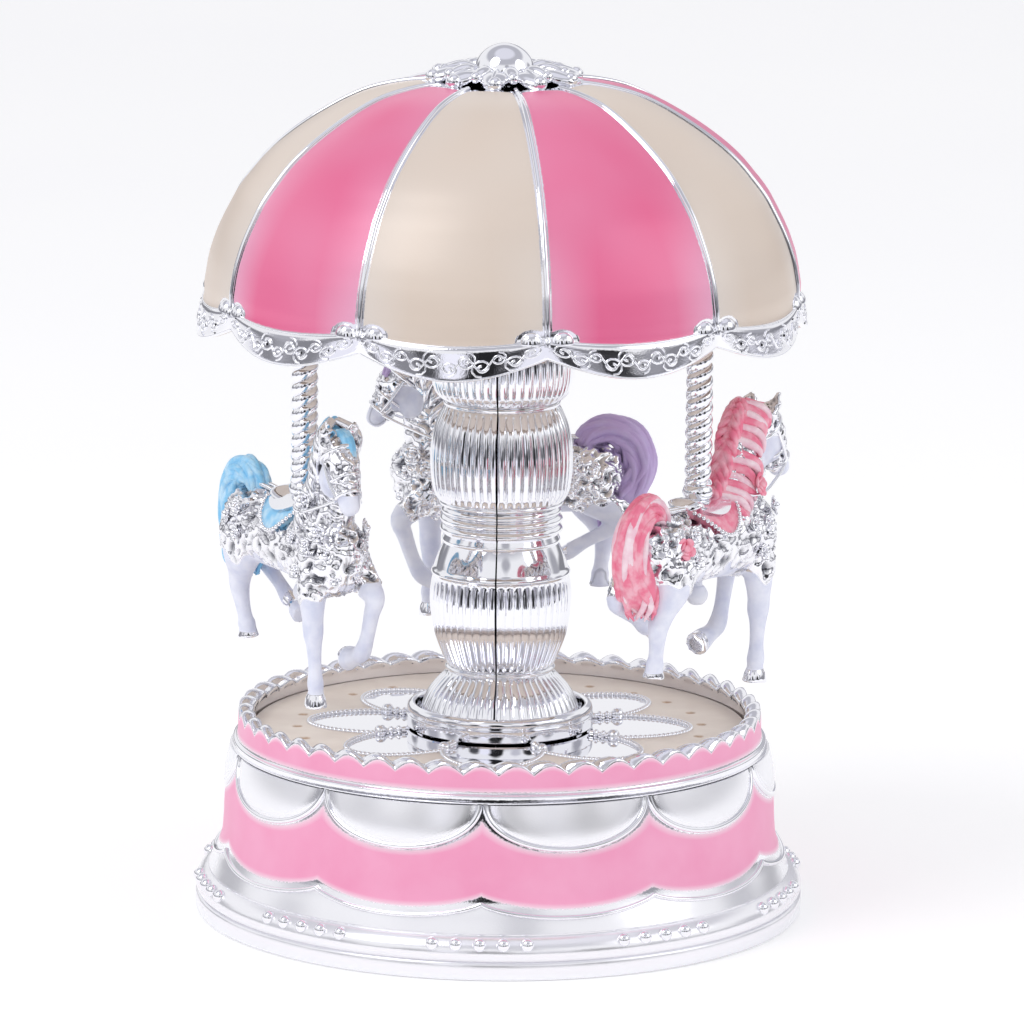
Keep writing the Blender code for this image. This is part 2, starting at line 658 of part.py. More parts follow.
def column(axis):
    """Two half shells that meet on a seam, and the hub that ties them to the arbor."""
    foot = smooth([(14.2, 35.6), (12.9, 38.9), (9.4, 43.3)], 2)[:-1]
    lower = smooth([(9.4, 43.3), (11.1, 47.7), (12.55, 55.4), (12.1, 60.7)], 2)
    cone = [(10.4, 66.1), (10.9, 67.4), (10.4, 69.0), (10.9, 70.6), (10.5, 72.0)]
    upper = smooth([(11.2, 73.7), (12.65, 80.6), (11.6, 87.7), (10.05, 91.0)], 2)
    head = smooth([(11.2, 92.2), (12.6, 97.6), (10.4, 102.6)], 2)
    outline = [(COLUMN_BORE, COLUMN_BOTTOM), (13.2, COLUMN_BOTTOM)] + foot + lower + cone + upper + head
    outline += [(10.4, COLUMN_TOP), (COLUMN_BORE, COLUMN_TOP)]
    for side, start in (("right", SEAM_ANGLE), ("left", SEAM_ANGLE + 180)):
        maker = turned_part(outline, COLUMN_STEPS, start + SEAM_HALF_GAP, start + 180 - SEAM_HALF_GAP)
        piece(f"column_{side}", maker, chrome(), axis)
    hub_radius = COLUMN_BORE - CLEARANCE
    hub = [(HUB_BORE, HUB_BOTTOM), (hub_radius, HUB_BOTTOM), (hub_radius, HUB_TOP), (HUB_BORE, HUB_TOP)]
    piece("column_hub", turned(hub[::-1], 20), white_plastic(), axis)


def roof_shape(radius, z, angle):
    """Draws the hem out and down between the ribs."""
    lobe = abs(math.sin(GORES / 2 * (angle - math.radians(RIB_ANGLE))))
    near_hem = max(0.0, 1 - (z - ROOF_HEM) / 9)
    return radius - 2.2 * near_hem * (1 - lobe), z + 2.3 * near_hem * (1 - lobe)


def roof(axis):
    keys = [(8.5, 147.6), (23, 145.9), (33.8, 140.7), (43.6, 132.2), (50.0, 121.4), (51.8, 114.5)]
    outer = [(6.0, 147.2), *smooth(keys, 2)[:-2]]
    hem = [(52.9, 110.0), (ROOF_HEM_RADIUS, ROOF_HEM)]
    inner = [(50.9, ROOF_HEM), (49.4, 113.6), (46.6, 122.4), (40.6, 131.6), (31.5, 139.0), (21.1, 143.6),
             (7.0, 145.0)]
    recess = [(2.0, 145.0), (2.0, RECESS_FLOOR), (6.0, RECESS_FLOOR)]
    piece("roof_dome", turned(outer + hem + inner + recess, 40, roof_shape), chrome(), axis)

    plate = [(POST_BORE, CEILING_BOTTOM), (CEILING_RADIUS, CEILING_BOTTOM), (CEILING_RADIUS, CEILING_TOP),
             (4.6, CEILING_TOP), (4.0, POST_TOP), (POST_BORE, POST_TOP)]
    ceiling = piece("roof_ceiling", turned(plate[::-1], 24), cream_plastic(), axis)
    outer, inner = COLUMN_BORE - CLEARANCE, 4.0
    low, high = SPIGOT_BOTTOM, CEILING_BOTTOM + 0.5
    added = [turned([(outer, high), (outer, low), (inner, low), (inner, high)], 20)]
    bores = []
    threads = []
    for angle in POLE_ANGLES:
        low, high = (on_circle(POLE_CIRCLE, angle, z) for z in (CEILING_TOP - 0.5, POLE_TOP + 2.0))
        added.append(rod(SOCKET_RADIUS, low, high, 12))
        low, high = (on_circle(POLE_CIRCLE, angle, z) for z in (100, POLE_TOP + CLEARANCE))
        bores.append(rod(POLE_RADIUS + CLEARANCE, low, high, 12))
        low, high = (on_circle(POLE_CIRCLE, angle, z) for z in (112, 120))
        threads.append(rod(1.0, low, high, 8))
    combine(ceiling, "UNION", helper("sockets and spigot", together(added), axis))
    combine(ceiling, "DIFFERENCE", helper("pole bores", together(bores), axis))
    combine(ceiling, "DIFFERENCE", helper("pole screw holes", together(threads), axis))

    screw("roof_screw", (0, 0, RECESS_FLOOR + CLEARANCE), 3.4, 0.9, 0.9, 14.0, -1, axis, 10)
    rosette = [(5.8, 150.6), (5.8, 148.0), (8.5, 147.95), (13.4, 147.5), (13.9, 148.0), (11.5, 149.8),
               (8.0, 151.0)]
    piece("roof_rosette", turned(rosette, 40, rosette_shape), chrome(), axis)
    arc = [math.radians(90 - k * 14) for k in range(8)]
    ball_outline = [(FINIAL_RADIUS * math.cos(a), FINIAL_CENTRE + FINIAL_RADIUS * math.sin(a)) for a in arc]
    ball_outline[0] = (0, FINIAL_CENTRE + FINIAL_RADIUS)
    piece("roof_finial", turned([*ball_outline, (0, ball_outline[-1][1])], 20), chrome(), axis)


def rosette_shape(radius, z, angle):
    """Ten leaves round the crown."""
    leaf = abs(math.sin(GORES / 2 * angle))
    return radius - (1.8 * (1 - leaf) if radius > 8 else 0), z


# ---- Poles and horses ----------------------------------------------------------------------------

# Each limb is a chain of (forward, outward, height, radius) in millimetres, measured from the pole's axis.
TRUNK = ((-15.0, 0, 70.3, 6.2), (-6.0, 0, 69.8, 6.2), (3.0, 0, 69.8, 6.3), (13.0, 0, 69.4, 7.0))
NECK = ((11.0, 0, 74.0, 6.0), (12.4, 0, 81.0, 4.8), (12.6, 0, 87.6, 4.0))
HEAD = ((13.6, 0.2, 88.2, 3.6), (17.6, 0.7, 84.6, 2.9), (20.0, 1.0, 81.2, 2.2))
TAIL = ((-14.5, 0, 75.6, 2.2), (-18.6, 0, 79.8, 2.4), (-23.4, 0, 79.2, 3.1), (-25.6, 0, 73.4, 3.2),
        (-24.0, 0, 67.2, 3.4), (-22.8, 0, 61.0, 2.2), (-22.0, 0, 57.2, 1.0))
RIGHT_FORE = ((13.0, 3.2, 66.5, 4.2), (12.6, 4.2, 58.0, 2.3), (11.8, 4.3, 47.5, 1.7),
              (11.6, 4.3, 44.8, 2.0))
LEFT_FORE = ((13.0, -3.2, 66.5, 4.2), (17.0, -4.4, 62.6, 2.4), (13.0, -4.6, 53.0, 1.7),
             (7.4, -4.6, 51.4, 1.8))
RIGHT_HIND = ((-15.0, 3.0, 68.0, 4.6), (-19.6, 3.0, 58.6, 2.3), (-18.8, 2.6, 52.0, 1.8),
              (-18.2, 2.6, 49.8, 2.0))
LEFT_HIND = ((-15.0, -3.0, 68.0, 4.6), (-21.4, -3.8, 63.0, 2.4), (-13.0, -3.8, 58.2, 1.8),
             (-8.2, -3.8, 56.2, 1.8))
LIMBS = (NECK, HEAD, TAIL, RIGHT_FORE, LEFT_FORE, RIGHT_HIND, LEFT_HIND)


def limb(chain, slim=1.0):
    """Balls and tapered rods along a chain, in the horse's frame: X forward, Y inward, Z up."""
    makers = []
    for forward, outward, height, radius in chain:
        makers.append(ball((forward, -outward, height), radius, 2))
    for first, second in zip(chain, chain[1:]):
        start, end = (Vector((f, -o, h)) for f, o, h, _ in (first, second))
        bar = bmesh.new()
        bmesh.ops.create_cone(bar, cap_ends=True, segments=12, radius1=first[3], radius2=second[3],
                              depth=(end - start).length)
        turn = UP.rotation_difference((end - start).normalized()).to_matrix().to_4x4()
        bar.transform(Matrix.Translation((start + end) / 2) @ turn)
        makers.append(bar)
    whole = together(makers)
    whole.transform(Matrix.Diagonal((1, slim, 1, 1)))
    return whole


def horse_halves():
    """Meshes of a horse's right and left halves, fused from its limbs and cut on the middle plane."""
    ears = [rod(0.9, (12.6, y, 88.0), (13.6, y * 1.1, 92.4), 6) for y in (1.7, -1.7)]
    parts = [limb(TRUNK, 0.88), *[limb(chain) for chain in LIMBS], *ears]
    fused = helper("horse shape", together(parts))
    remesh = fused.modifiers.new("fuse", "REMESH")
    remesh.mode = "VOXEL"
    remesh.voxel_size = HORSE_VOXEL * MM
    thin = fused.modifiers.new("thin", "DECIMATE")
    thin.ratio = HORSE_FACES_KEPT
    halves = {}
    for side, low, high in (("right", -12, -HORSE_SEAM_HALF_GAP), ("left", HORSE_SEAM_HALF_GAP, 12)):
        half = helper(f"horse {side} half", box((-40, low, 30), (40, high, 110)))
        combine(half, "INTERSECT", fused)
        combine(half, "DIFFERENCE", helper(f"pin bore {side}", rod(HORSE_BORE, (0, 0, 55), (0, 0, 90), 10)))
        graph = bpy.context.evaluated_depsgraph_get()
        halves[side] = bpy.data.meshes.new_from_object(half.evaluated_get(graph))
    return halves


def rides(axis):
    halves = horse_halves()
    colours = ("7E62A8", "8CC8EC", "E8709A")
    pole = [(0, POLE_BORE_TOP), (POLE_BORE, POLE_BORE_TOP), (POLE_BORE, POLE_BOTTOM), (2.3, POLE_BOTTOM)]
    pole += [(2.6, 78.8), (2.3, 79.7), (1.9, 80.2), (POLE_RADIUS, 80.9), (POLE_RADIUS, POLE_TOP)]
    pole += [(POLE_SCREW_BORE, POLE_TOP), (POLE_SCREW_BORE, POLE_SCREW_BORE_BOTTOM)]
    pole += [(0, POLE_SCREW_BORE_BOTTOM)]
    for number, (angle, colour) in enumerate(zip(POLE_ANGLES, colours), 1):
        place = on_circle(POLE_CIRCLE, angle)
        stand = empty(f"ride {number}", place, (0, 0, angle + 90))
        stand.parent = axis
        piece(f"pole_{number}", turned(pole, 12), chrome(), stand)
        screw(f"pole_screw_{number}", (0, 0, POLE_TOP + 2.3), 2.0, 1.0, 0.65, 6.5, -1, stand)
        pin = [
            (0, PIN_BALL_CENTRE - PIN_BALL_RADIUS),
            (1.1, PIN_BALL_CENTRE - 1.1),
            (PIN_BALL_RADIUS, PIN_BALL_CENTRE),
            (1.1, PIN_BALL_CENTRE + 1.1),
            (PIN_RADIUS, PIN_BALL_CENTRE + 1.5),
            (PIN_RADIUS, PIN_TOP),
            (0, PIN_TOP),
        ]
        piece(f"pole_pin_{number}", turned(pin, 10), white_plastic(), stand)
        for side, mesh in halves.items():
            half = bpy.data.objects.new(f"horse_{number}_{side}", mesh.copy())
            half.data.materials.clear()
            half.data.materials.append(finish(f"horse_{number}", colour, 0.35))
            half.parent = stand
            bpy.context.scene.collection.objects.link(half)


def main():
    for old in list(bpy.data.objects):
        bpy.data.objects.remove(old)
    carousel = empty("carousel axis", (0, 0, 0))
    cylinder = empty("cylinder axis", (0, 0, CYLINDER_Z), (0, 90, 0))
    governor = empty("governor axis", (0, GOVERNOR_Y, CYLINDER_Z), (0, 90, 0))
    fly = empty("fly axis", (WORM_X, WORM_Y, 0))
    base_shell()
    deck_plate()
    deck_collar()
    bottom_cover()
    movement_bedplate()
    spring_drive(carousel)
    comb()
    cylinder_train(cylinder)
    governor_train(governor)
    worm_and_fly(fly)
    governor_bracket()
    column(carousel)
    roof(carousel)
    rides(carousel)


main()
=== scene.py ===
"""The looks of a carousel music box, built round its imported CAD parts.

Shapes are worked out in millimetres in the part's own frame, Z up, and become metres when a mesh is made.
Azimuths are counted in degrees from +X, anticlockwise seen from above.
"""

import json
import math

import bmesh
import bpy
import numpy as np
from bpy.props import FloatProperty, FloatVectorProperty, IntProperty, PointerProperty
from mathutils import Matrix, Vector, noise


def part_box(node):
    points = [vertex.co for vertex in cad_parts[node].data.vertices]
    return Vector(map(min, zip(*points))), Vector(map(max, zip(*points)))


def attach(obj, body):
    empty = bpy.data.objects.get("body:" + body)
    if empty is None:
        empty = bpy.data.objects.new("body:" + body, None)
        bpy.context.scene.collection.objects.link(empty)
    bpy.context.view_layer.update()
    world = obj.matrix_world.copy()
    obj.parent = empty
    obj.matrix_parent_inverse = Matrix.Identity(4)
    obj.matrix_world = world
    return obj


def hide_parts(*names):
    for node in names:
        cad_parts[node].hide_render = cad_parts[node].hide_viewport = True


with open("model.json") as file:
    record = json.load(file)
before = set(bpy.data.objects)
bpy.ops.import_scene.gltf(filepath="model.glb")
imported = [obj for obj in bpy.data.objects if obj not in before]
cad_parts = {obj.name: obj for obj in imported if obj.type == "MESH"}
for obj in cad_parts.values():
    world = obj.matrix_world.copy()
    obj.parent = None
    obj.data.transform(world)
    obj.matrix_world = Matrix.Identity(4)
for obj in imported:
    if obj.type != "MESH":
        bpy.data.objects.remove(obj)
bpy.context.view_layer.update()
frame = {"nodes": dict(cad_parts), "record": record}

bl_info = {
    "name": "Carousel music box",
    "version": (1, 0, 0),
    "blender": (4, 5, 0),
    "location": "3D View > Sidebar > Music box",
    "description": "Builds the plated and sprayed pieces of a carousel music box on its CAD frame",
    "category": "Object",
}

MM = 0.001
RIB_ANGLE = 26.4  # azimuth of the first roof rib
GORES = 10
SEAM_ANGLE = -94.0  # azimuth of the column's front seam
SEAM_HALF_GAP = 0.7
SWAG_CUSP = -93.3  # azimuth where two swags of the base meet
PETAL_ANGLE = -3.1  # azimuth of the first mirror petal of the deck
POLE_CIRCLE = 39.5
POLE_ANGLES = (90.0, 210.0, 330.0)


def srgb(code):
    """A linear colour from an sRGB hex code."""
    parts = [channel / 255 for channel in bytes.fromhex(code)]
    return tuple(c / 12.92 if c <= 0.04045 else ((c + 0.055) / 1.055) ** 2.4 for c in parts)


def corner_mm(node, corner):
    """A CAD node's lowest (0) or highest (1) corner in millimetres."""
    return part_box(node)[corner] / MM


# ---- Forms: points, faces and values on the points --------------------------------------------------------


class Form:
    """Points in millimetres, faces over them, and named values on the points."""

    def __init__(self, points, faces, **values):
        self.points = np.asarray(points, float).reshape(-1, 3)
        self.faces = [list(map(int, face)) for face in faces]
        self.values = {}
        for name, value in values.items():
            self.values[name] = np.broadcast_to(value, len(self.points)).astype(float)

    def __add__(self, other):
        first = len(self.points)
        joined = Form(np.vstack([self.points, other.points]), [])
        joined.faces = self.faces + [[corner + first for corner in face] for face in other.faces]
        for name in {**self.values, **other.values}:
            halves = [f.values.get(name, np.zeros(len(f.points))) for f in (self, other)]
            joined.values[name] = np.concatenate(halves)
        return joined

    def placed(self, matrix):
        moved = Form(self.points @ np.array(matrix.to_3x3()).T + np.array(matrix.translation), [])
        moved.faces, moved.values = self.faces, self.values
        return moved


def run(points, per_span=4):
    """Points along a smooth curve through the given ones, both ends kept."""
    keys = np.asarray(points, float)
    ends = np.vstack([keys[:1], keys, keys[-1:]])
    steps = np.arange(per_span)[:, None] / per_span
    parts = []
    for p, q, r, s in zip(ends, ends[1:], ends[2:], ends[3:]):
        square, cube = 2 * p - 5 * q + 4 * r - s, 3 * q - p - 3 * r + s
        parts.append(0.5 * (2 * q + (r - p) * steps + square * steps**2 + cube * steps**3))
    return np.vstack([*parts, keys[-1:]])


def skin(shape, close_rows=False, close_columns=True):
    """Quads over a grid of points with this many rows and columns."""
    index = np.arange(shape[0] * shape[1]).reshape(shape[:2])
    if close_rows:
        index = np.vstack([index, index[:1]])
    if close_columns:
        index = np.hstack([index, index[:, :1]])
    corners = index[:-1, :-1], index[:-1, 1:], index[1:, 1:], index[1:, :-1]
    return np.stack(corners, -1).reshape(-1, 4)


def turned(profile, steps, relief=None, start=0.0, span=360.0, to_axis=False):
    """The (radius, z) profile turned about Z. It is a closed one, or runs from the axis round to the axis.

    relief(radius, z, azimuth, row) returns the moved radius and z, and a dict of values on the points.
    """
    profile = np.asarray(profile, float)
    full = span >= 360
    columns = steps if full else steps + 1
    azimuth = np.radians(start + span * np.arange(columns) / steps)[None, :] + np.zeros((len(profile), 1))
    radius = profile[:, :1] + np.zeros_like(azimuth)
    height = profile[:, 1:] + np.zeros_like(azimuth)
    values = {}
    if relief:
        radius, height, values = relief(radius, height, azimuth, np.arange(len(profile))[:, None])
    points = np.stack([radius * np.cos(azimuth), radius * np.sin(azimuth), height], -1)
    faces = [list(face) for face in skin(points.shape, not to_axis, full)]
    if not full:
        index = np.arange(len(profile)) * columns
        faces.append(list(index))
        faces.append(list(index[::-1] + columns - 1))
    flat = {name: np.broadcast_to(value, radius.shape).reshape(-1) for name, value in values.items()}
    return Form(points.reshape(-1, 3), faces, **flat)


def loft(stations, sides=20):
    """An oval tube along (forward, outward, height, half width, half depth) stations, its ends closed."""
    keys = run(stations, 4)
    centre = keys[:, :3] * (1, -1, 1)
    along = np.gradient(centre, axis=0)
    along /= np.linalg.norm(along, axis=1)[:, None]
    side = np.cross(along, np.cross((0.0, 1.0, 0.0), along))
    side /= np.linalg.norm(side, axis=1)[:, None]
    up = np.cross(side, along)
    angle = np.arange(sides) * math.tau / sides
    ring = (np.cos(angle)[None, :, None] * (side * keys[:, 3:4])[:, None]
            + np.sin(angle)[None, :, None] * (up * keys[:, 4:5])[:, None])
    points = centre[:, None] + ring
    faces = [list(face) for face in skin(points.shape)]
    last = (len(keys) - 1) * sides
    faces.append(list(range(sides))[::-1])
    faces.append(list(range(last, last + sides)))
    return Form(points.reshape(-1, 3), faces)


def ball(centre, radius, stretch=(1, 1, 1), levels=3):
    """A round knob with even faces."""
    maker = bmesh.new()
    bmesh.ops.create_icosphere(maker, subdivisions=levels, radius=1)
    points = np.array([v.co for v in maker.verts]) * radius * np.array(stretch) + np.array(centre)
    faces = [[v.index for v in face.verts] for face in maker.faces]
    maker.free()
    return Form(points, faces)


def on_wall(radius, degrees, z):
    """Points at these radii, azimuths and heights."""
    angle = np.radians(degrees)
    return np.stack(np.broadcast_arrays(radius * np.cos(angle), radius * np.sin(angle), z), -1)


# ---- Objects ----------------------------------------------------------------------------------------------


def mesh_of(name, form, finish=None, merge=True, sharp=38.0):
    """A mesh in metres of the form, merged, facing outwards and smoothly shaded."""
    mesh = bpy.data.meshes.new(name)
    mesh.from_pydata((form.points * MM).tolist(), [], form.faces)
    for label, values in form.values.items():
        attribute = mesh.attributes.new(label, "FLOAT", "POINT")
        attribute.data.foreach_set("value", values.astype(np.float32))
    if merge:
        maker = bmesh.new()
        maker.from_mesh(mesh)
        bmesh.ops.remove_doubles(maker, verts=maker.verts, dist=2e-7)
        bmesh.ops.recalc_face_normals(maker, faces=maker.faces)
        maker.to_mesh(mesh)
        maker.free()
    if finish:
        mesh.materials.append(finish)
    mesh.shade_smooth()
    mesh.set_sharp_from_angle(angle=math.radians(sharp))
    return mesh


def linked(name, mesh):
    """A new object in the scene, at the origin."""
    made = bpy.data.objects.new(name, mesh)
    bpy.context.scene.collection.objects.link(made)
    return made


def fixed_to(made, body, nodes=()):
    """Lets a finished piece ride on its CAD body, in place of the CAD nodes it stands for."""
    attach(made, body)
    if nodes:
        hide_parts(*nodes)
    return made


def path_object(name, paths):
    """A mesh of edges along the paths. Each path is (points in mm, half thickness in mm, closed)."""
    points, edges, thickness = [], [], []
    for line, half, closed in paths:
        line = np.asarray(line, float)
        first = len(points)
        points += (line * MM).tolist()
        thickness += (np.broadcast_to(half, len(line)) * MM).tolist()
        edges += [(first + i, first + i + 1) for i in range(len(line) - 1)]
        if closed:
            edges.append((first + len(line) - 1, first))
    mesh = bpy.data.meshes.new(name)
    mesh.from_pydata(points, edges, [])
    attribute = mesh.attributes.new("thickness", "FLOAT", "POINT")
    attribute.data.foreach_set("value", thickness)
    return linked(name, mesh)


# ---- Node trees -------------------------------------------------------------------------------------------


def node(tree, kind, settings=None, **inputs):
    """Adds a node with its settings and links. An input is given by name, or by number as i0, i1 and so on.
    It takes a value, a linear colour or the output of another node."""
    made = tree.nodes.new(kind)
    for key, value in (settings or {}).items():
        setattr(made, key, value)
    for key, value in inputs.items():
        label = key.replace("_", " ")
        socket = made.inputs[int(key[1:])] if key[0] == "i" and key[1:].isdigit() else made.inputs[label]
        if isinstance(value, bpy.types.NodeSocket):
            tree.links.new(value, socket)
        elif socket.type == "RGBA":
            socket.default_value = (*value, 1)
        else:
            socket.default_value = value
    return made


def geometry_tree(name, sockets):
    """An empty Geometry Nodes tree with named inputs, and its input and output nodes."""
    tree = bpy.data.node_groups.new(name, "GeometryNodeTree")
    tree.interface.new_socket("Geometry", in_out="INPUT", socket_type="NodeSocketGeometry")
    for label, kind, default in sockets:
        socket = tree.interface.new_socket(label, in_out="INPUT", socket_type=f"NodeSocket{kind}")
        if default is not None:
            socket.default_value = default
    tree.interface.new_socket("Geometry", in_out="OUTPUT", socket_type="NodeSocketGeometry")
    return tree, tree.nodes.new("NodeGroupInput"), tree.nodes.new("NodeGroupOutput")


def sweep_tree():
    """A round bar along each edge path, as thick as the path's own thickness value."""
    tree, given, result = geometry_tree("round bar on paths", [
        ("Sides", "Int", 8), ("Finish", "Material", None)])
    line = node(tree, "GeometryNodeMeshToCurve", Mesh=given.outputs["Geometry"])
    thick = node(tree, "GeometryNodeInputNamedAttribute", {"data_type": "FLOAT"}, Name="thickness")
    profile = node(tree, "GeometryNodeCurvePrimitiveCircle", Resolution=given.outputs["Sides"], Radius=1.0)
    bar = node(tree, "GeometryNodeCurveToMesh", Curve=line.outputs[0], Scale=thick.outputs["Attribute"],
               Fill_Caps=True)
    tree.links.new(profile.outputs[0], bar.inputs["Profile Curve"])
    real = node(tree, "GeometryNodeRealizeInstances", Geometry=bar.outputs[0])
    ended = node(tree, "GeometryNodeSetMaterial", Geometry=real.outputs[0], Material=given.outputs["Finish"])
    tree.links.new(ended.outputs[0], result.inputs[0])
    return tree


def ring_tree():
    """Copies of a motif turned about Z, evenly spaced from a first angle."""
    tree, given, result = geometry_tree("motif round the axis", [
        ("Count", "Int", 10), ("First angle", "Float", 0.0), ("Step angle", "Float", math.tau / 10),
        ("Finish", "Material", None)])
    points = node(tree, "GeometryNodePoints", Count=given.outputs["Count"])
    number = node(tree, "GeometryNodeInputIndex")
    angle = node(tree, "ShaderNodeMath", {"operation": "MULTIPLY_ADD"}, i0=number.outputs[0],
                 i1=given.outputs["Step angle"], i2=given.outputs["First angle"])
    turn = node(tree, "ShaderNodeCombineXYZ", Z=angle.outputs[0])
    copies = node(tree, "GeometryNodeInstanceOnPoints", Points=points.outputs[0],
                  Instance=given.outputs["Geometry"], Rotation=turn.outputs[0])
    real = node(tree, "GeometryNodeRealizeInstances", Geometry=copies.outputs[0])
    ended = node(tree, "GeometryNodeSetMaterial", Geometry=real.outputs[0], Material=given.outputs["Finish"])
    tree.links.new(ended.outputs[0], result.inputs[0])
    return tree


def bead_tree():
    """Round beads spaced evenly on each edge path."""
    tree, given, result = geometry_tree("beads on paths", [
        ("Count", "Int", 38), ("Bead radius", "Float", 0.0004), ("Finish", "Material", None)])
    line = node(tree, "GeometryNodeMeshToCurve", Mesh=given.outputs["Geometry"])
    spaced = node(tree, "GeometryNodeResampleCurve", Curve=line.outputs[0], Count=given.outputs["Count"])
    bead = node(tree, "GeometryNodeMeshIcoSphere", Radius=given.outputs["Bead radius"], Subdivisions=2)
    smooth = node(tree, "GeometryNodeSetShadeSmooth", Geometry=bead.outputs[0])
    copies = node(tree, "GeometryNodeInstanceOnPoints", Points=spaced.outputs[0], Instance=smooth.outputs[0])
    real = node(tree, "GeometryNodeRealizeInstances", Geometry=copies.outputs[0])
    ended = node(tree, "GeometryNodeSetMaterial", Geometry=real.outputs[0], Material=given.outputs["Finish"])
    tree.links.new(ended.outputs[0], result.inputs[0])
    return tree


def twist_tree():
    """Two round strands wound round each other, standing on the origin."""
    tree, given, result = geometry_tree("barley twist", [
        ("Length", "Float", 0.035), ("Lead", "Float", 0.0045), ("Strand radius", "Float", 0.0012),
        ("Winding radius", "Float", 0.001), ("Finish", "Material", None)])
    turns = node(tree, "ShaderNodeMath", {"operation": "DIVIDE"}, i0=given.outputs["Length"],
                 i1=given.outputs["Lead"])
    helix = node(tree, "GeometryNodeCurveSpiral", Resolution=20, Rotations=turns.outputs[0],
                 Start_Radius=given.outputs["Winding radius"], End_Radius=given.outputs["Winding radius"],
                 Height=given.outputs["Length"], Reverse=True)
    profile = node(tree, "GeometryNodeCurvePrimitiveCircle", Resolution=14,
                   Radius=given.outputs["Strand radius"])
    strand = node(tree, "GeometryNodeCurveToMesh", Curve=helix.outputs[0], Fill_Caps=True)
    tree.links.new(profile.outputs[0], strand.inputs["Profile Curve"])
    second = node(tree, "GeometryNodeTransform", Geometry=strand.outputs[0], Rotation=(0, 0, math.pi))
    both = node(tree, "GeometryNodeJoinGeometry")
    tree.links.new(second.outputs[0], both.inputs[0])
    tree.links.new(strand.outputs[0], both.inputs[0])
    real = node(tree, "GeometryNodeRealizeInstances", Geometry=both.outputs[0])
    smooth = node(tree, "GeometryNodeSetShadeSmooth", Geometry=real.outputs[0])
    ended = node(tree, "GeometryNodeSetMaterial", Geometry=smooth.outputs[0],
                 Material=given.outputs["Finish"])
    tree.links.new(ended.outputs[0], result.inputs[0])
    return tree


TREES = {"sweep": sweep_tree, "ring": ring_tree, "beads": bead_tree, "twist": twist_tree}


def grown(made, kind, **inputs):
    """Runs one of the trees on an object and leaves its result as the object's own plain mesh."""
    tree = bpy.data.node_groups.get(kind) or TREES[kind]()
    tree.name = kind
    modifier = made.modifiers.new(kind, "NODES")
    modifier.node_group = tree
    sockets = {item.name: item.identifier for item in tree.interface.items_tree if item.in_out == "INPUT"}
    for label, value in inputs.items():
        modifier[sockets[label.replace("_", " ")]] = value
    graph = bpy.context.evaluated_depsgraph_get()
    mesh = bpy.data.meshes.new_from_object(made.evaluated_get(graph))
    made.modifiers.clear()
    old = made.data
    made.data = mesh
    bpy.data.meshes.remove(old)
    mesh.name = made.name
    return made


def in_ring(made, count, first, finish, step=None):
    """The motif object repeated round the axis."""
    step = math.tau / count if step is None else math.radians(step)
    return grown(made, "ring", Count=count, First_angle=math.radians(first), Step_angle=step, Finish=finish)


# ---- Finishes ---------------------------------------------------------------------------------------------

NOISE, RANGE, MIX = "ShaderNodeTexNoise", "ShaderNodeMapRange", "ShaderNodeMix"
MATHS, BUMP, VALUE = "ShaderNodeMath", "ShaderNodeBump", "ShaderNodeAttribute"
COLOURS = {"data_type": "RGBA"}
CHROME = srgb("F4F4F8")


def new_finish(name):
    """A material with its tree, its shader and the output that gives Object coordinates."""
    material = bpy.data.materials.new(name)
    material.use_nodes = True
    tree = material.node_tree
    place = node(tree, "ShaderNodeTexCoord").outputs["Object"]
    return material, tree, tree.nodes["Principled BSDF"], place


def feed(tree, shader, **links):
    """Links outputs to the shader's inputs of these names."""
    for label, socket in links.items():
        tree.links.new(socket, shader.inputs[label.replace("_", " ")])


def per_mm(size):
    """The scale of a noise whose coarsest grain is about this many millimetres across."""
    return 1 / (size * MM)


def plated(name, roughness, unevenness_mm=0.02):
    """Vacuum-metallised ABS: a bright mirror that shows the slight unevenness of the moulding under it."""
    material, tree, shader, place = new_finish(name)
    shader.inputs["Metallic"].default_value = 1.0
    wipe = node(tree, NOISE, Vector=place, Scale=per_mm(6.0), Detail=3.0).outputs[0]
    haze = node(tree, NOISE, Vector=place, Scale=per_mm(2.5)).outputs[0]
    swell = node(tree, NOISE, Vector=place, Scale=per_mm(3.5), Detail=1.0).outputs[0]
    tint = node(tree, MIX, COLOURS, i0=wipe, i6=srgb("EEEFF4"), i7=srgb("F9F9FC")).outputs[2]
    rough = node(tree, RANGE, Value=haze, From_Min=0.3, From_Max=0.7, To_Min=roughness * 0.7,
                 To_Max=roughness * 1.5).outputs[0]
    bump = node(tree, BUMP, Strength=1.0, Distance=unevenness_mm * MM, Height=swell).outputs[0]
    feed(tree, shader, Base_Color=tint, Roughness=rough, Normal=bump)
    return material


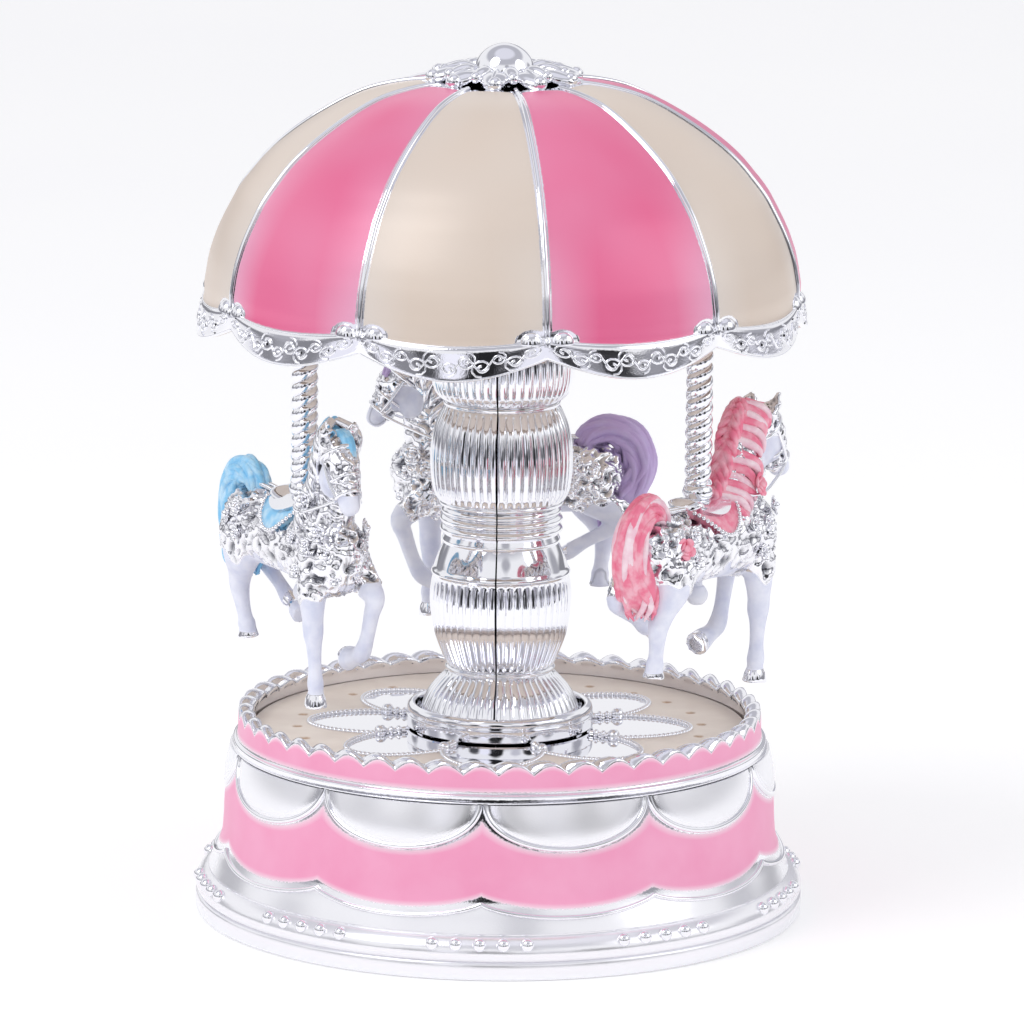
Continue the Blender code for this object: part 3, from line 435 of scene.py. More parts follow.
def sprayed_over_plating(name, thin, full, shade):
    """Matt lacquer sprayed over the plating. It thins to bare metal where paint_mm falls to nothing.

    The bare metal is frosted as far as the satin value says.
    """
    material, tree, shader, place = new_finish(name)
    depth = node(tree, VALUE, {"attribute_name": "paint_mm"}).outputs["Fac"]
    satin = node(tree, VALUE, {"attribute_name": "satin"}).outputs["Fac"]
    speckle = node(tree, NOISE, Vector=place, Scale=per_mm(0.35)).outputs[0]
    ragged = node(tree, MATHS, {"operation": "MULTIPLY_ADD"}, i0=speckle, i1=0.5, i2=depth).outputs[0]
    cover = node(tree, RANGE, Value=ragged, From_Min=0.15, From_Max=0.42).outputs[0]
    clouds = node(tree, NOISE, Vector=place, Scale=per_mm(9.0), Detail=3.0).outputs[0]
    cloud = node(tree, RANGE, Value=clouds, From_Min=0.3, From_Max=0.7).outputs[0]
    coat = node(tree, MIX, COLOURS, i0=cloud, i6=full, i7=shade).outputs[2]
    body = node(tree, RANGE, Value=depth, From_Min=0.1, From_Max=0.9).outputs[0]
    lacquer = node(tree, MIX, COLOURS, i0=body, i6=thin, i7=coat).outputs[2]
    tint = node(tree, MIX, COLOURS, i0=cover, i6=CHROME, i7=lacquer).outputs[2]
    bare = node(tree, RANGE, Value=satin, To_Min=0.07, To_Max=0.24).outputs[0]
    rough = node(tree, MIX, {"data_type": "FLOAT"}, i0=cover, i2=bare, i3=0.42).outputs[0]
    frosted = node(tree, RANGE, Value=satin, To_Min=1.0, To_Max=0.5).outputs[0]
    bright = node(tree, MATHS, {"operation": "SUBTRACT"}, i0=1.0, i1=cover).outputs[0]
    metal = node(tree, MATHS, {"operation": "MULTIPLY"}, i0=bright, i1=frosted).outputs[0]
    peel = node(tree, NOISE, Vector=place, Scale=per_mm(0.3)).outputs[0]
    bump = node(tree, BUMP, Strength=1.0, Distance=0.012 * MM, Height=peel).outputs[0]
    feed(tree, shader, Base_Color=tint, Metallic=metal, Roughness=rough, Normal=bump)
    return material


def lacquered(name, colour, second, roughness, patch_mm):
    """Sprayed matt lacquer with a fine orange-peel surface and slow changes of depth."""
    material, tree, shader, place = new_finish(name)
    clouds = node(tree, NOISE, Vector=place, Scale=per_mm(patch_mm), Detail=3.0).outputs[0]
    cloud = node(tree, RANGE, Value=clouds, From_Min=0.35, From_Max=0.65).outputs[0]
    tint = node(tree, MIX, COLOURS, i0=cloud, i6=colour, i7=second).outputs[2]
    dull = node(tree, NOISE, Vector=place, Scale=per_mm(1.0)).outputs[0]
    rough = node(tree, RANGE, Value=dull, From_Min=0.3, From_Max=0.7, To_Min=roughness - 0.06,
                 To_Max=roughness + 0.08).outputs[0]
    peel = node(tree, NOISE, Vector=place, Scale=per_mm(0.4)).outputs[0]
    bump = node(tree, BUMP, Strength=1.0, Distance=0.015 * MM, Height=peel).outputs[0]
    feed(tree, shader, Base_Color=tint, Roughness=rough, Normal=bump)
    return material


def worked_metal(name, colour, second, roughness, line_mm):
    """Turned or drawn metal: fine lines left by the tool, with a slight tarnish in patches."""
    material, tree, shader, place = new_finish(name)
    shader.inputs["Metallic"].default_value = 1.0
    patches = node(tree, NOISE, Vector=place, Scale=per_mm(4.0), Detail=4.0).outputs[0]
    patch = node(tree, RANGE, Value=patches, From_Min=0.35, From_Max=0.7).outputs[0]
    tint = node(tree, MIX, COLOURS, i0=patch, i6=colour, i7=second).outputs[2]
    lines = node(tree, NOISE, Vector=place, Scale=per_mm(line_mm), Detail=3.0).outputs[0]
    rough = node(tree, RANGE, Value=lines, From_Min=0.3, From_Max=0.7, To_Min=roughness * 0.8,
                 To_Max=roughness * 1.3).outputs[0]
    bump = node(tree, BUMP, Strength=1.0, Distance=0.01 * MM, Height=lines).outputs[0]
    feed(tree, shader, Base_Color=tint, Roughness=rough, Normal=bump)
    return material


FINISHES = {}


# ---- Settings ---------------------------------------------------------------------------------------------


def length_of(name, description, default_mm):
    """A length setting, given in millimetres and kept in metres."""
    return FloatProperty(name=name, description=description, default=default_mm * MM, min=0.0, unit="LENGTH")


def colour_of(name, description, code):
    """A colour setting from an sRGB hex code."""
    return FloatVectorProperty(name=name, description=description, default=srgb(code), size=3, min=0, max=1,
                               subtype="COLOR")


class BaseSettings(bpy.types.PropertyGroup):
    """Sizes and colours of the base and its deck."""

    scallops: IntProperty(name="Scallops", description="Rounded lobes round the gallery", default=48, min=8)
    scallop_drop: length_of("Scallop drop", "Depth of the notches between the lobes", 1.7)
    swags: IntProperty(name="Swags", description="Draped panels and festoons round the wall", default=10,
                       min=4)
    swag_depth: length_of("Swag depth", "How far a swag hangs", 7.6)
    petals: IntProperty(name="Petals", description="Mirror petals on the deck", default=8, min=3)
    pink: colour_of("Wall", "Lacquer of the wall", "F09ABE")
    cream: colour_of("Deck", "Lacquer of the deck", "E6D8CC")


class ColumnSettings(bpy.types.PropertyGroup):
    """Sizes of the column."""

    reeds: IntProperty(name="Reeds", description="Upright reeds round the barrels", default=48, min=12)
    reed_depth: length_of("Reed depth", "Height of a reed over its valleys", 0.34)


class RoofSettings(bpy.types.PropertyGroup):
    """Colours of the roof."""

    pink: colour_of("Pink gores", "Lacquer of every second gore", "E4628F")
    cream: colour_of("Cream gores", "Lacquer of the gores between", "D8C8BA")


class RideSettings(bpy.types.PropertyGroup):
    """Sizes and colours of the poles and horses."""

    twist_lead: length_of("Twist lead", "Height of one full turn of the barley twist", 4.5)
    body: colour_of("Legs and head", "Lacquer of the bare parts of a horse", "E9EBF7")
    back_hair: colour_of("Back horse", "Lacquer of its mane and tail", "C0A9D9")
    left_hair: colour_of("Left horse", "Lacquer of its mane and tail", "86C8F0")
    right_hair: colour_of("Right horse", "Lacquer of its mane and tail", "EE7A98")


class StageSettings(bpy.types.PropertyGroup):
    """The studio."""

    floor: colour_of("Floor", "Colour of the studio floor", "F4F4F5")
    distance: length_of("Camera distance", "From the camera to the object's axis", 1150.0)
    elevation: FloatProperty(name="Elevation", description="Angle of the camera above the horizon",
                             default=math.radians(11.13), subtype="ANGLE", unit="ROTATION")


# ---- Base -------------------------------------------------------------------------------------------------

WALL = run([(51.75, 7.7), (50.9, 9.6), (50.15, 11.2), (49.6, 12.6), (49.3, 14.0), (49.1, 16.5),
            (48.95, 19.9), (48.7, 22.1), (48.3, 24.3), (47.8, 26.5), (47.1, 29.3)], 6)
RING_BOTTOM = 29.3
SWAG_SHARE = 17.4 / 18  # of the distance between two cusps
SWAG_CROWN = 0.95
FESTOON_CUSP = 12.4
FESTOON_SAG = 2.3
GALLERY_TOP = 36.0
GALLERY_RADIUS = 46.5
NOTCH_FOOT = 32.9  # where the notches of the gallery run out on its wall
LIP_RADIUS = 44.6


def wall_radius(z):
    """The outer radius of the base's wall at a height."""
    return np.interp(z, WALL[:, 1], WALL[:, 0])


def across(azimuth_degrees, first, step):
    """Where an azimuth lies between two repeats, from -1 at one cusp to 1 at the next."""
    return 2 * (((azimuth_degrees - first) / step) % 1.0) - 1


def festoon_height(part):
    """The height of the festoon's ridge, from one cusp (-1) to the next (1)."""
    return FESTOON_CUSP - FESTOON_SAG * np.clip(1 - part**2, 0, 1) ** 0.8


def base_form(s):
    """The base shell turned in one piece, with its swags and the scallops of the gallery as relief."""
    foot = np.vstack([
        run([(53.3, 0.0), (53.95, 0.15), (54.1, 0.8), (54.15, 2.7), (53.9, 3.15)], 2),
        [(53.45, 3.3), (53.45, 3.55)],
        run([(53.85, 3.65), (54.1, 4.4), (53.95, 5.4), (53.4, 6.3), (52.5, 7.1), (51.95, 7.3)], 2),
        [(51.75, 7.35), (51.7, 7.6)],
    ])
    heights = np.linspace(WALL[0, 1], RING_BOTTOM, 44)
    wall = np.stack([wall_radius(heights), heights], -1)
    ring = run([(46.95, 29.35), (47.5, 29.45), (47.6, 29.7), (47.3, 29.85), (47.25, 30.5), (47.45, 30.65),
                (47.3, 30.9), (46.85, 31.0)], 2)
    rise = np.linspace(31.1, GALLERY_TOP, 14)
    bulge = np.interp(rise, [31.1, 32.3, GALLERY_TOP], [46.75, 46.55, GALLERY_RADIUS])
    gallery = np.stack([bulge, rise], -1)
    crest = run([(46.45, 36.15), (46.2, 36.42), (45.7, 36.6), (45.0, 36.6), (44.3, 36.35), (43.8, 35.95),
                 (43.55, 35.45), (43.65, 34.95)], 2)
    inside = [(43.95, 34.6), (44.15, 34.0), (44.2, 32.6), (44.2, 30.2), (41.7, 30.2), (41.7, 28.6),
              (45.0, 28.2), (46.8, 22.0), (47.6, 9.0), (49.6, 4.3), (49.6, 0.0)]
    profile = np.vstack([foot, wall, ring, gallery, crest, inside])
    first_gallery = len(foot) + len(wall) + len(ring)
    first_crest = first_gallery + len(gallery)
    first_inside = first_crest + len(crest)
    step = 360 / s.swags
    depth, drop_mm = s.swag_depth / MM, s.scallop_drop / MM

    def relief(radius, z, azimuth, row):
        degrees = np.degrees(azimuth)
        part = across(degrees, SWAG_CUSP, step)
        below = (RING_BOTTOM - z) / depth
        reach = np.hypot(part / SWAG_SHARE, below)
        on_wall_rows = (z < RING_BOTTOM + 0.01) & (row < first_gallery)
        inside_swag = on_wall_rows & (reach < 1)
        radius = radius + np.where(inside_swag, SWAG_CROWN * np.sqrt(np.clip(1 - reach**2, 0, 1)), 0)
        paint = np.minimum((reach - 1) * 6.5 - 0.55, z - festoon_height(part) - 1.35)
        paint = np.where(on_wall_rows, paint, -1.0)
        outer = (row >= first_gallery) & (row < first_crest)
        over = (row >= first_crest) & (row < first_inside)
        twist = np.where(over, (GALLERY_RADIUS - radius) * 0.42, 0.0)
        notch = 1 - np.abs(np.sin(s.scallops / 2 * azimuth + twist))
        on_wall_share = np.clip((z - NOTCH_FOOT) / (GALLERY_TOP - NOTCH_FOOT), 0, 1) ** 1.3
        over_share = np.where(over, np.interp(radius, [43.5, 46.4], [0.55, 1.0]), 0.0)
        share = np.where(outer, on_wall_share, over_share)
        paint = np.where(outer, np.minimum(z - 31.35, GALLERY_TOP - z - 0.1), paint)
        lip = np.where(over & (radius < LIP_RADIUS), 0.5 * (LIP_RADIUS - radius), 0.0) * notch
        z = z - drop_mm * share * notch
        frosted_foot = np.where(on_wall_rows & (z < FESTOON_CUSP), 0.7, 0)
        satin = np.where(inside_swag, np.clip((1 - reach) * 5, 0, 1), frosted_foot)
        return radius + lip, z, {"paint_mm": paint, "satin": satin}

    return turned(profile, 768, relief)


def swag_edges(s):
    """One swag's rim and one festoon's ridge, from cusp to cusp."""
    half = 180 / s.swags
    part = np.radians(np.linspace(-90, 90, 41))
    degrees = half * SWAG_SHARE * np.sin(part)
    z = RING_BOTTOM - s.swag_depth / MM * np.cos(part)
    rim = on_wall(wall_radius(z) + 0.12, degrees, z)
    along = np.linspace(-1, 1, 41)
    low = festoon_height(along)
    ridge = on_wall(wall_radius(low) + 0.08, half * along, low)
    return rim, ridge


class MUSICBOX_OT_base(bpy.types.Operator):
    """Base shell with its gallery, swags, festoons and the beads of its foot."""

    bl_idname = "music_box.base"
    bl_label = "Base"

    def execute(self, context):
        s = context.scene.music_box_base
        shell = linked("base_body", mesh_of("base_body", base_form(s), FINISHES["base"]))
        fixed_to(shell, "base", ["base_shell"])
        rim, ridge = swag_edges(s)
        bars = path_object("swag_rims", [(rim, 0.52, False), (ridge, 0.42, False)])
        grown(bars, "sweep", Sides=10, Finish=FINISHES["chrome"])
        bars.data.shade_smooth()
        in_ring(bars, s.swags, SWAG_CUSP + 180 / s.swags, FINISHES["chrome"])
        fixed_to(bars, "base", ())
        beads = path_object("foot_beads", [(on_wall(53.35, np.linspace(-8.8, 8.8, 9), 6.15), 1, False)])
        grown(beads, "beads", Count=5, Bead_radius=1.25 * MM, Finish=FINISHES["chrome"])
        in_ring(beads, s.swags, SWAG_CUSP, FINISHES["chrome"])
        fixed_to(beads, "base", ())
        return {"FINISHED"}


DIMPLE_CIRCLE = 36.0
DIMPLE_ANGLE = 3.0
DIMPLE_STEP = 15.0
DIMPLE_RADIUS = 0.95
DIMPLE_DEPTH = 0.45
PETAL_START = 20.6
PETAL_LENGTH = 13.4
PETAL_HALF_WIDTH = 8.8
JUNCTION_RADIUS = 22.3


def deck_form(s):
    """The deck with its ring of dimples, and how far each point lies inside a petal."""
    low, high = corner_mm("deck_plate", 0), corner_mm("deck_plate", 1)
    edge, bottom, top = high.x, low.z, high.z
    radii = np.concatenate([np.arange(edge, 38, -0.5), np.arange(38, 34, -0.2), np.arange(34, 16, -0.36),
                            [8.0, 4.0]])
    profile = np.vstack([[(4.0, bottom), (edge, bottom)], np.stack([radii, np.full(len(radii), top)], -1)])

    def relief(radius, z, azimuth, row):
        degrees = np.degrees(azimuth)
        part = across(degrees, PETAL_ANGLE - 180 / s.petals, 360 / s.petals) * math.pi / s.petals
        x, y = radius * np.cos(part), radius * np.sin(part)
        out = np.hypot(np.clip(x - PETAL_START, 0, None) / PETAL_LENGTH, y / PETAL_HALF_WIDTH)
        petal = np.maximum((1 - out) * PETAL_HALF_WIDTH, JUNCTION_RADIUS - radius)
        aside = across(degrees, DIMPLE_ANGLE - DIMPLE_STEP / 2, DIMPLE_STEP) * DIMPLE_STEP / 2
        away = np.hypot(radius - DIMPLE_CIRCLE, np.radians(aside) * DIMPLE_CIRCLE) / DIMPLE_RADIUS
        dent = np.where((row > 1) & (away < 1), 1 - away**2, 0)
        return radius, z - DIMPLE_DEPTH * dent, {"petal_mm": petal, "dent": np.clip(dent * 3, 0, 1)}

    return turned(profile, 720, relief)


def deck_finish(cream):
    """Cream lacquer round polished plated petals. The small dents are coloured a darker brown as painted
    shade in the recesses.
    """
    material, tree, shader, place = new_finish("cream_lacquer_with_mirror_petals")
    petal = node(tree, VALUE, {"attribute_name": "petal_mm"}).outputs["Fac"]
    dent = node(tree, VALUE, {"attribute_name": "dent"}).outputs["Fac"]
    cover = node(tree, RANGE, Value=petal, From_Min=-0.12, From_Max=0.12, To_Min=1.0, To_Max=0.0).outputs[0]
    clouds = node(tree, NOISE, Vector=place, Scale=per_mm(8.0), Detail=3.0).outputs[0]
    cloud = node(tree, RANGE, Value=clouds, From_Min=0.3, From_Max=0.7).outputs[0]
    lacquer = node(tree, MIX, COLOURS, i0=cloud, i6=cream, i7=srgb("F2E6DA")).outputs[2]
    # painted shade: the dents are mixed towards brown, standing in for shadow in the recesses
    lacquer = node(tree, MIX, COLOURS, i0=dent, i6=lacquer, i7=srgb("C4A68E")).outputs[2]
    tint = node(tree, MIX, COLOURS, i0=cover, i6=CHROME, i7=lacquer).outputs[2]
    metal = node(tree, MATHS, {"operation": "SUBTRACT"}, i0=1.0, i1=cover).outputs[0]
    rough = node(tree, RANGE, Value=cover, To_Min=0.03, To_Max=0.4).outputs[0]
    swell = node(tree, NOISE, Vector=place, Scale=per_mm(2.5), Detail=1.0).outputs[0]
    bump = node(tree, BUMP, Strength=1.0, Distance=0.01 * MM, Height=swell).outputs[0]
    feed(tree, shader, Base_Color=tint, Metallic=metal, Roughness=rough, Normal=bump)
    return material


def knobbed_rod():
    """The ball and short turned rod between two petals, lying along +X."""
    outline = run([(0.0, 0.0), (0.4, 0.05), (0.55, 0.5), (0.45, 1.2), (0.75, 1.5), (0.75, 1.8), (0.4, 2.1),
                   (0.4, 2.6), (0.7, 2.9), (0.7, 3.2), (0.4, 3.5), (0.45, 3.9), (0.95, 4.4), (1.12, 5.0),
                   (0.95, 5.7), (0.5, 6.0), (0.0, 6.05)], 2)
    outline[:, 0] = np.clip(outline[:, 0], 0, None)
    lying = Matrix.Rotation(math.pi / 2, 4, "Y")
    return turned(outline, 14, to_axis=True).placed(Matrix.Translation((17.3, 0, 33.0)) @ lying)


class MUSICBOX_OT_deck(bpy.types.Operator):
    """Deck with its mirror petals, bead strings, knobs and the collar round the column."""

    bl_idname = "music_box.deck"
    bl_label = "Deck"

    def execute(self, context):
        s = context.scene.music_box_base
        deck = linked("deck", mesh_of("deck", deck_form(s), deck_finish(tuple(s.cream))))
        fixed_to(deck, "base", ["deck_plate"])
        top = corner_mm("deck_plate", 1).z
        part = np.radians(np.linspace(-84, 84, 60))
        edge = np.stack([PETAL_START + PETAL_LENGTH * np.cos(part), PETAL_HALF_WIDTH * np.sin(part),
                         np.full(60, top + 0.12)], -1)
        beads = path_object("petal_beads", [(edge, 1, False)])
        grown(beads, "beads", Count=38, Bead_radius=0.55 * MM, Finish=FINISHES["chrome"])
        in_ring(beads, s.petals, PETAL_ANGLE, FINISHES["chrome"])
        fixed_to(beads, "base", ())
        rods = linked("petal_rods", mesh_of("petal_rods", knobbed_rod(), FINISHES["chrome"]))
        in_ring(rods, s.petals, PETAL_ANGLE + 180 / s.petals, FINISHES["chrome"])
        fixed_to(rods, "base", ())
        outline = np.vstack([[(14.95, 32.8), (16.4, 32.8)],
                             run([(16.62, 33.05), (16.65, 34.0), (16.6, 34.9)], 3),
                             [(16.35, 35.05)],
                             run([(16.5, 35.2), (16.5, 36.0), (16.25, 36.65), (15.7, 37.0)], 4),
                             run([(15.4, 37.0), (15.05, 36.8), (14.95, 36.3)], 3)])
        collar = linked("collar", mesh_of("collar", turned(outline, 240), FINISHES["chrome"]))
        fixed_to(collar, "base", ["deck_collar"])
        return {"FINISHED"}


# ---- Column -----------------------------------------------------------------------------------------------

COLUMN_RUNS = (((13.2, 33.6), (13.9, 34.4), (14.15, 35.3), (14.0, 36.2), (13.4, 37.8), (12.85, 38.9),
                (12.0, 40.1), (10.9, 41.3), (9.9, 42.3), (9.45, 42.9)),
               ((9.7, 43.1), (9.75, 43.5), (9.4, 43.8)),
               ((9.6, 44.1), (10.2, 45.5), (11.1, 47.7), (11.8, 49.8), (12.25, 52.0), (12.5, 54.2),
                (12.6, 56.2), (12.4, 58.4), (12.1, 60.1)),
               ((12.2, 60.3), (12.4, 60.7), (12.2, 61.2)),
               ((11.95, 61.5), (11.5, 62.9), (11.05, 64.1), (10.55, 65.2), (10.2, 65.9)),
               ((10.35, 66.1), (10.5, 66.5), (10.35, 66.9), (10.1, 67.5)),
               ((10.5, 67.9), (10.9, 68.5), (10.5, 69.2), (10.2, 69.4)),
               ((10.5, 69.6), (10.9, 70.3), (10.5, 70.9), (10.2, 71.1)),
               ((10.4, 71.3), (10.7, 71.8), (10.45, 72.3), (10.25, 72.6)),
               ((10.9, 72.9), (11.1, 73.3), (11.0, 73.6)),
               ((11.3, 73.8), (11.85, 74.8), (12.2, 75.9), (12.5, 78.0), (12.63, 80.3), (12.6, 82.3),
                (12.35, 84.5), (12.0, 86.2), (11.55, 87.7), (11.05, 88.9), (10.5, 90.1), (10.15, 90.6)),
               ((10.35, 90.8), (10.4, 91.2), (10.2, 91.5)),
               ((10.6, 91.7), (11.3, 92.3), (12.0, 93.3), (12.5, 95.2), (12.65, 97.5), (12.5, 99.8),
                (11.9, 101.6), (11.0, 102.7), (10.4, 103.2)),
               ((10.4, 103.6), (10.4, 106.6)))
REEDED = ((33.9, 42.7), (44.0, 60.1), (73.8, 90.6), (91.7, 103.0))


def column_form(s, start):
    """One half of the column from its seam, with upright reeds round the barrels."""
    outer = np.vstack([run(part, 3) for part in COLUMN_RUNS])
    profile = np.vstack([outer, [(7.5, 106.6), (7.5, 33.6)]])

    def relief(radius, z, azimuth, row):
        reeded = np.zeros_like(z)
        for low, high in REEDED:
            reeded = np.maximum(reeded, np.clip(np.minimum(z - low, high - z) / 0.8, 0, 1))
        reeded = np.where(row < len(outer), reeded, 0)
        phase = s.reeds / 2 * (azimuth - math.radians(SEAM_ANGLE + SEAM_HALF_GAP))
        valley = 1 - np.abs(np.sin(phase)) ** 0.8
        return radius - s.reed_depth / MM * reeded * valley, z, {}

    return turned(profile, 288, relief, start + SEAM_HALF_GAP, 180 - 2 * SEAM_HALF_GAP)


class MUSICBOX_OT_column(bpy.types.Operator):
    """Reeded column in two halves."""

    bl_idname = "music_box.column"
    bl_label = "Column"

    def execute(self, context):
        s = context.scene.music_box_column
        for side, start in (("right", SEAM_ANGLE), ("left", SEAM_ANGLE + 180)):
            name = f"reeded_column_{side}"
            half = linked(name, mesh_of(name, column_form(s, start), FINISHES["chrome"], sharp=50))
            fixed_to(half, "carousel", [f"column_{side}"])
        return {"FINISHED"}


# ---- Roof -------------------------------------------------------------------------------------------------

ROOF_HEM = 103.7
ROOF_LINE = 109.5  # where the valance meets the gores
DOME = run([(53.75, 103.7), (53.9, 104.0), (53.75, 105.1), (53.45, 107.0), (53.15, 108.8), (52.75, 109.5),
            (52.35, 110.6), (52.1, 112.7), (51.8, 114.5), (51.5, 116.3), (51.1, 118.1), (50.55, 119.8),
            (49.9, 121.6), (49.1, 123.4), (48.2, 125.2), (47.3, 126.9), (46.3, 128.7), (45.0, 130.5),
            (43.6, 132.2), (42.1, 134.0), (40.3, 135.8), (38.3, 137.5), (35.9, 139.3), (33.4, 141.0),
            (30.6, 142.7), (27.5, 144.4), (23.5, 146.1), (18.5, 147.3), (13.5, 147.9), (8.5, 148.1),
            (6.0, 147.8)], 3)


BOSS_OFFSET = 2.7  # from the rib to the middle of a corner boss
BOSS_RADIUS = 2.05
BOSS_RIM_RADIUS = 2.65
VALANCE_RADIUS = 53.5
SCROLL_PITCH = 5.6
FINIAL_RADIUS = 5.4
FINIAL_RISE = 4.8  # from the middle of the finial to its top


def lobed(radius, z, azimuth):
    """Draws the hem out and down between the ribs."""
    near = np.clip(1 - (z - ROOF_HEM) / 10.5, 0, 1) ** 1.4
    flat = 1 - np.abs(np.sin(GORES / 2 * (azimuth - math.radians(RIB_ANGLE))))
    return radius - 1.7 * near * flat, z + 3.7 * near * flat


def dome_radius(z):
    """The outer radius of the dome at a height, before the hem is lobed."""
    return np.interp(z, DOME[:, 1], DOME[:, 0])


def roof_form():
    """The dome with puffed gores and a lobed hem, and where its lacquer, gores and ribs lie."""
    inner = [(7.0, 145.0), (21.1, 143.6), (31.5, 139.0), (40.6, 131.6), (46.6, 122.4), (49.4, 113.6),
             (51.2, 109.0), (52.4, ROOF_HEM + 0.1)]
    recess = [(6.0, 146.0), (2.0, 146.0), (2.0, 145.0)]
    profile = np.vstack([DOME, recess, run(inner, 3)])

    def relief(radius, z, azimuth, row):
        outside = row < len(DOME)
        degrees = np.degrees(azimuth)
        part = across(degrees, RIB_ANGLE, 360 / GORES)
        from_rib = (1 - np.abs(part)) * math.pi / GORES * radius
        puff = np.where(outside & (z > ROOF_LINE), 0.35 * (1 - part**2) * np.clip((z - ROOF_LINE) / 3, 0, 1)
                        * np.clip(radius / 30, 0, 1), 0)
        from_boss = np.hypot(from_rib - BOSS_OFFSET, z - ROOF_LINE)
        paint = np.minimum(np.minimum(from_rib - 0.75, z - ROOF_LINE - 0.15),
                           from_boss - BOSS_RIM_RADIUS - 0.1)
        paint = np.where(outside, np.where(radius > 13.6, paint, -1), 3.0)
        gore = np.where(outside, (np.floor((degrees - RIB_ANGLE) * GORES / 360) % 2 == 1).astype(float), 0.0)
        new_radius, new_z = lobed(radius, z, azimuth)
        return new_radius + puff, new_z, {"paint_mm": paint, "gore": gore, "rib_mm": from_rib}

    return turned(profile, 720, relief)


def roof_finish(pink, cream):
    """Lacquer sprayed over plating, pink in every second gore. It thins towards the ribs and the hem."""
    material, tree, shader, place = new_finish("pink_and_cream_lacquer_on_plated_abs")
    depth = node(tree, VALUE, {"attribute_name": "paint_mm"}).outputs["Fac"]
    rib = node(tree, VALUE, {"attribute_name": "rib_mm"}).outputs["Fac"]
    gore = node(tree, VALUE, {"attribute_name": "gore"}).outputs["Fac"]
    speckle = node(tree, NOISE, Vector=place, Scale=per_mm(0.35)).outputs[0]
    ragged = node(tree, MATHS, {"operation": "MULTIPLY_ADD"}, i0=speckle, i1=0.3, i2=depth).outputs[0]
    cover = node(tree, RANGE, Value=ragged, From_Min=0.1, From_Max=0.3).outputs[0]
    height = node(tree, "ShaderNodeSeparateXYZ", Vector=place).outputs["Z"]
    low = node(tree, RANGE, Value=height, From_Min=108 * MM, From_Max=135 * MM, To_Min=1.0,
               To_Max=0.15).outputs[0]
    near = node(tree, RANGE, Value=rib, From_Min=0.5, From_Max=9.0, To_Min=1.0, To_Max=0.0).outputs[0]
    thin = node(tree, MATHS, {"operation": "MULTIPLY", "use_clamp": True}, i0=near, i1=low).outputs[0]
    clouds = node(tree, NOISE, Vector=place, Scale=per_mm(22.0), Detail=1.0).outputs[0]
    cloud = node(tree, RANGE, Value=clouds, From_Min=0.3, From_Max=0.7, To_Max=0.35).outputs[0]
    pale = node(tree, MATHS, {"operation": "ADD", "use_clamp": True}, i0=thin, i1=cloud).outputs[0]
    pink_paint = node(tree, MIX, COLOURS, i0=pale, i6=pink, i7=srgb("E9A6C4")).outputs[2]
    cream_paint = node(tree, MIX, COLOURS, i0=pale, i6=cream, i7=srgb("DDD3CB")).outputs[2]
    lacquer = node(tree, MIX, COLOURS, i0=gore, i6=cream_paint, i7=pink_paint).outputs[2]
    tint = node(tree, MIX, COLOURS, i0=cover, i6=CHROME, i7=lacquer).outputs[2]
    metal = node(tree, RANGE, Value=cover, To_Min=1.0, To_Max=0.08).outputs[0]
    rough = node(tree, RANGE, Value=cover, To_Min=0.06, To_Max=0.36).outputs[0]
    peel = node(tree, NOISE, Vector=place, Scale=per_mm(0.3)).outputs[0]
    bump = node(tree, BUMP, Strength=1.0, Distance=0.01 * MM, Height=peel).outputs[0]
    feed(tree, shader, Base_Color=tint, Metallic=metal, Roughness=rough, Normal=bump)
    return material


def valance_point(mm_along, up):
    """A point on the valance of the gore centred on azimuth 0, from its arc length and height share."""
    azimuth = mm_along / VALANCE_RADIUS
    z = ROOF_HEM + 0.35 + up * (ROOF_LINE - ROOF_HEM - 0.8)
    centred = azimuth + math.radians(RIB_ANGLE + 180 / GORES)
    radius, z = lobed(dome_radius(z) + 0.02, z, centred)
    return np.stack([radius * np.cos(azimuth), radius * np.sin(azimuth), z], -1)


def curl(along, up, size, turns, start, hand):
    """A scroll wound round (along, up) from its start angle inwards, as mm along and height share."""
    share = np.linspace(0, 1, 18)
    angle = math.radians(start) + hand * math.tau * turns * share
    radius = size * (1 - 0.82 * share)
    return along + radius * np.cos(angle), up + radius * np.sin(angle) / (ROOF_LINE - ROOF_HEM)


def scrollwork():
    """A waved stem and the scrolls in its bends, along one lobe of the valance."""
    stem = np.linspace(-14.0, 14.0, 120)
    wave = 0.5 - 0.24 * np.cos(math.tau * stem / SCROLL_PITCH)
    paths = [(valance_point(stem, wave), 0.2, False)]
    for k in range(-5, 6):
        hand = 1 if k % 2 else -1
        size = 1.95 if k % 3 else 1.5
        u, v = curl(k * SCROLL_PITCH / 2, 0.5 + 0.13 * hand, size, 1.5, 90 * hand, -1 if k > 0 else 1)
        paths.append((valance_point(u, np.clip(v, 0.05, 0.95)), np.linspace(0.18, 0.26, 18), False))
    return paths


